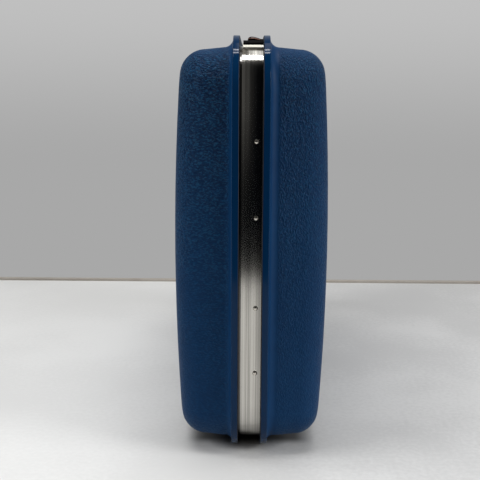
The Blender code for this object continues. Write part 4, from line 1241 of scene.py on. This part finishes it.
def make_room():
    """A pale room behind the case and a dim one behind the camera, with a bright panel overhead."""
    room = bpy.data.worlds.new("room")
    bpy.context.scene.world = room
    finish = Finish(room)
    way = finish.add("ShaderNodeTexCoord", output="Generated")
    side = finish.axis(way, "X")
    along = finish.axis(way, "Y")
    up = finish.axis(way, "Z")

    # Behind the camera it is dim, darkest right of the middle, with a pale wall far to the right
    pale = finish.step(along, -0.34, 0.12)
    low_left = finish.blend(finish.step(up, -0.13, -0.02), colour(18, 20, 22), colour(92, 92, 91))
    dim = finish.blend(finish.step(side, -0.085, 0.02), low_left, colour(3, 5, 9))
    dim = finish.blend(finish.step(side, 0.25, 0.45), dim, colour(150, 151, 153))

    # Behind the case stands a lit wall, and beside it a darker one that pales upwards
    lit = finish.blend(finish.step(side, -0.8, 0.8), colour(150, 152, 154), colour(176, 178, 180))
    low = finish.blend(finish.step(up, 0.02, 0.34), colour(60, 61, 62), colour(116, 112, 104))
    around = finish.blend(pale, dim, finish.blend(finish.step(along, 0.5, 0.8), low, lit))

    # The panel overhead reaches further back on the right
    left = finish.step(side, -0.008, -0.018)
    reach = finish.step(along, 0.48, 0.42) * (1 - left) + finish.step(along, 0.17, 0.11) * left
    panel = finish.step(along, -0.14, -0.03) * finish.step(abs(side), 0.42, 0.3) * reach
    panel = panel * finish.step(up, 0.66, 0.76)
    overhead = finish.blend(panel, around, (1.7, 1.7, 1.7, 1))

    # The camera itself sees a plain wall
    rays = finish.add("ShaderNodeLightPath", output="Is Camera Ray")
    wall = finish.blend(finish.step(up, -0.1, 0.1), colour(168, 168, 168), colour(192, 192, 192))
    seen = finish.blend(rays, overhead, wall)
    light = finish.add("ShaderNodeBackground", sockets={"Color": seen, "Strength": 1.0})
    finish.add("ShaderNodeOutputWorld", sockets={"Surface": light})


def lamp(name, place, aim, width, length, power, in_gloss=True):
    """A soft rectangular lamp at a place, aimed at another."""
    light = bpy.data.lights.new(name, "AREA")
    light.shape = "RECTANGLE"
    light.size = width
    light.size_y = length
    light.energy = power
    holder = bpy.data.objects.new(name, light)
    holder.location = place
    holder.rotation_euler = (Vector(aim) - Vector(place)).to_track_quat("-Z", "Y").to_euler()
    holder.visible_glossy = in_gloss
    bpy.context.scene.collection.objects.link(holder)


# The camera, with its angles in degrees
CAMERA_PLACE = (-0.00186, -1.2863, 0.4522)
CAMERA_PAN = 0.66
CAMERA_PITCH = 10.81
CAMERA_ROLL = 0.3
CAMERA_LENS = 64.0


def make_camera():
    """The photograph's camera, in front of the case's near end and looking down a little."""
    view = bpy.data.cameras.new("camera")
    view.sensor_width = 36
    view.lens = CAMERA_LENS
    camera = bpy.data.objects.new("camera", view)
    turn = (Matrix.Rotation(math.radians(CAMERA_PAN), 4, "Z")
            @ Matrix.Rotation(math.radians(90 - CAMERA_PITCH), 4, "X")
            @ Matrix.Rotation(math.radians(CAMERA_ROLL), 4, "Z"))
    camera.matrix_world = Matrix.Translation(CAMERA_PLACE) @ turn
    bpy.context.scene.collection.objects.link(camera)
    bpy.context.scene.camera = camera


stage_slab("table", (TABLE_FRONT + TABLE_BACK) / 2, -TABLE_THICKNESS / 2,
           TABLE_BACK - TABLE_FRONT, TABLE_THICKNESS, table_finish())
stage_slab("table_rail", TABLE_BACK + RAIL_WIDTH / 2, RAIL_MIDDLE_Z, RAIL_WIDTH, RAIL_HEIGHT,
           rail_finish())
make_room()
for name, along in (("first_tube", -0.45), ("second_tube", -0.16)):
    lamp(name, (-0.4, along, 2.5), (-0.4, along, 0), 1.8, 0.10, 14)
lamp("front_fill", (-0.2, -1.9, 2.3), (0, -0.3, 0.1), 1.8, 1.2, 6, in_gloss=False)
lamp("ceiling_fill", (-0.3, 0.5, 2.4), (-0.1, 0.1, 0), 1.8, 1.2, 8, in_gloss=False)
lamp("left_window", (-1.7, -0.8, 1.3), (-0.05, -0.2, 0.25), 0.8, 0.9, 18, in_gloss=False)
lamp("right_window", (1.7, -0.9, 1.0), (0.05, -0.2, 0.25), 0.8, 0.9, 24)
make_camera()
bpy.context.scene.view_settings.view_transform = "Standard"
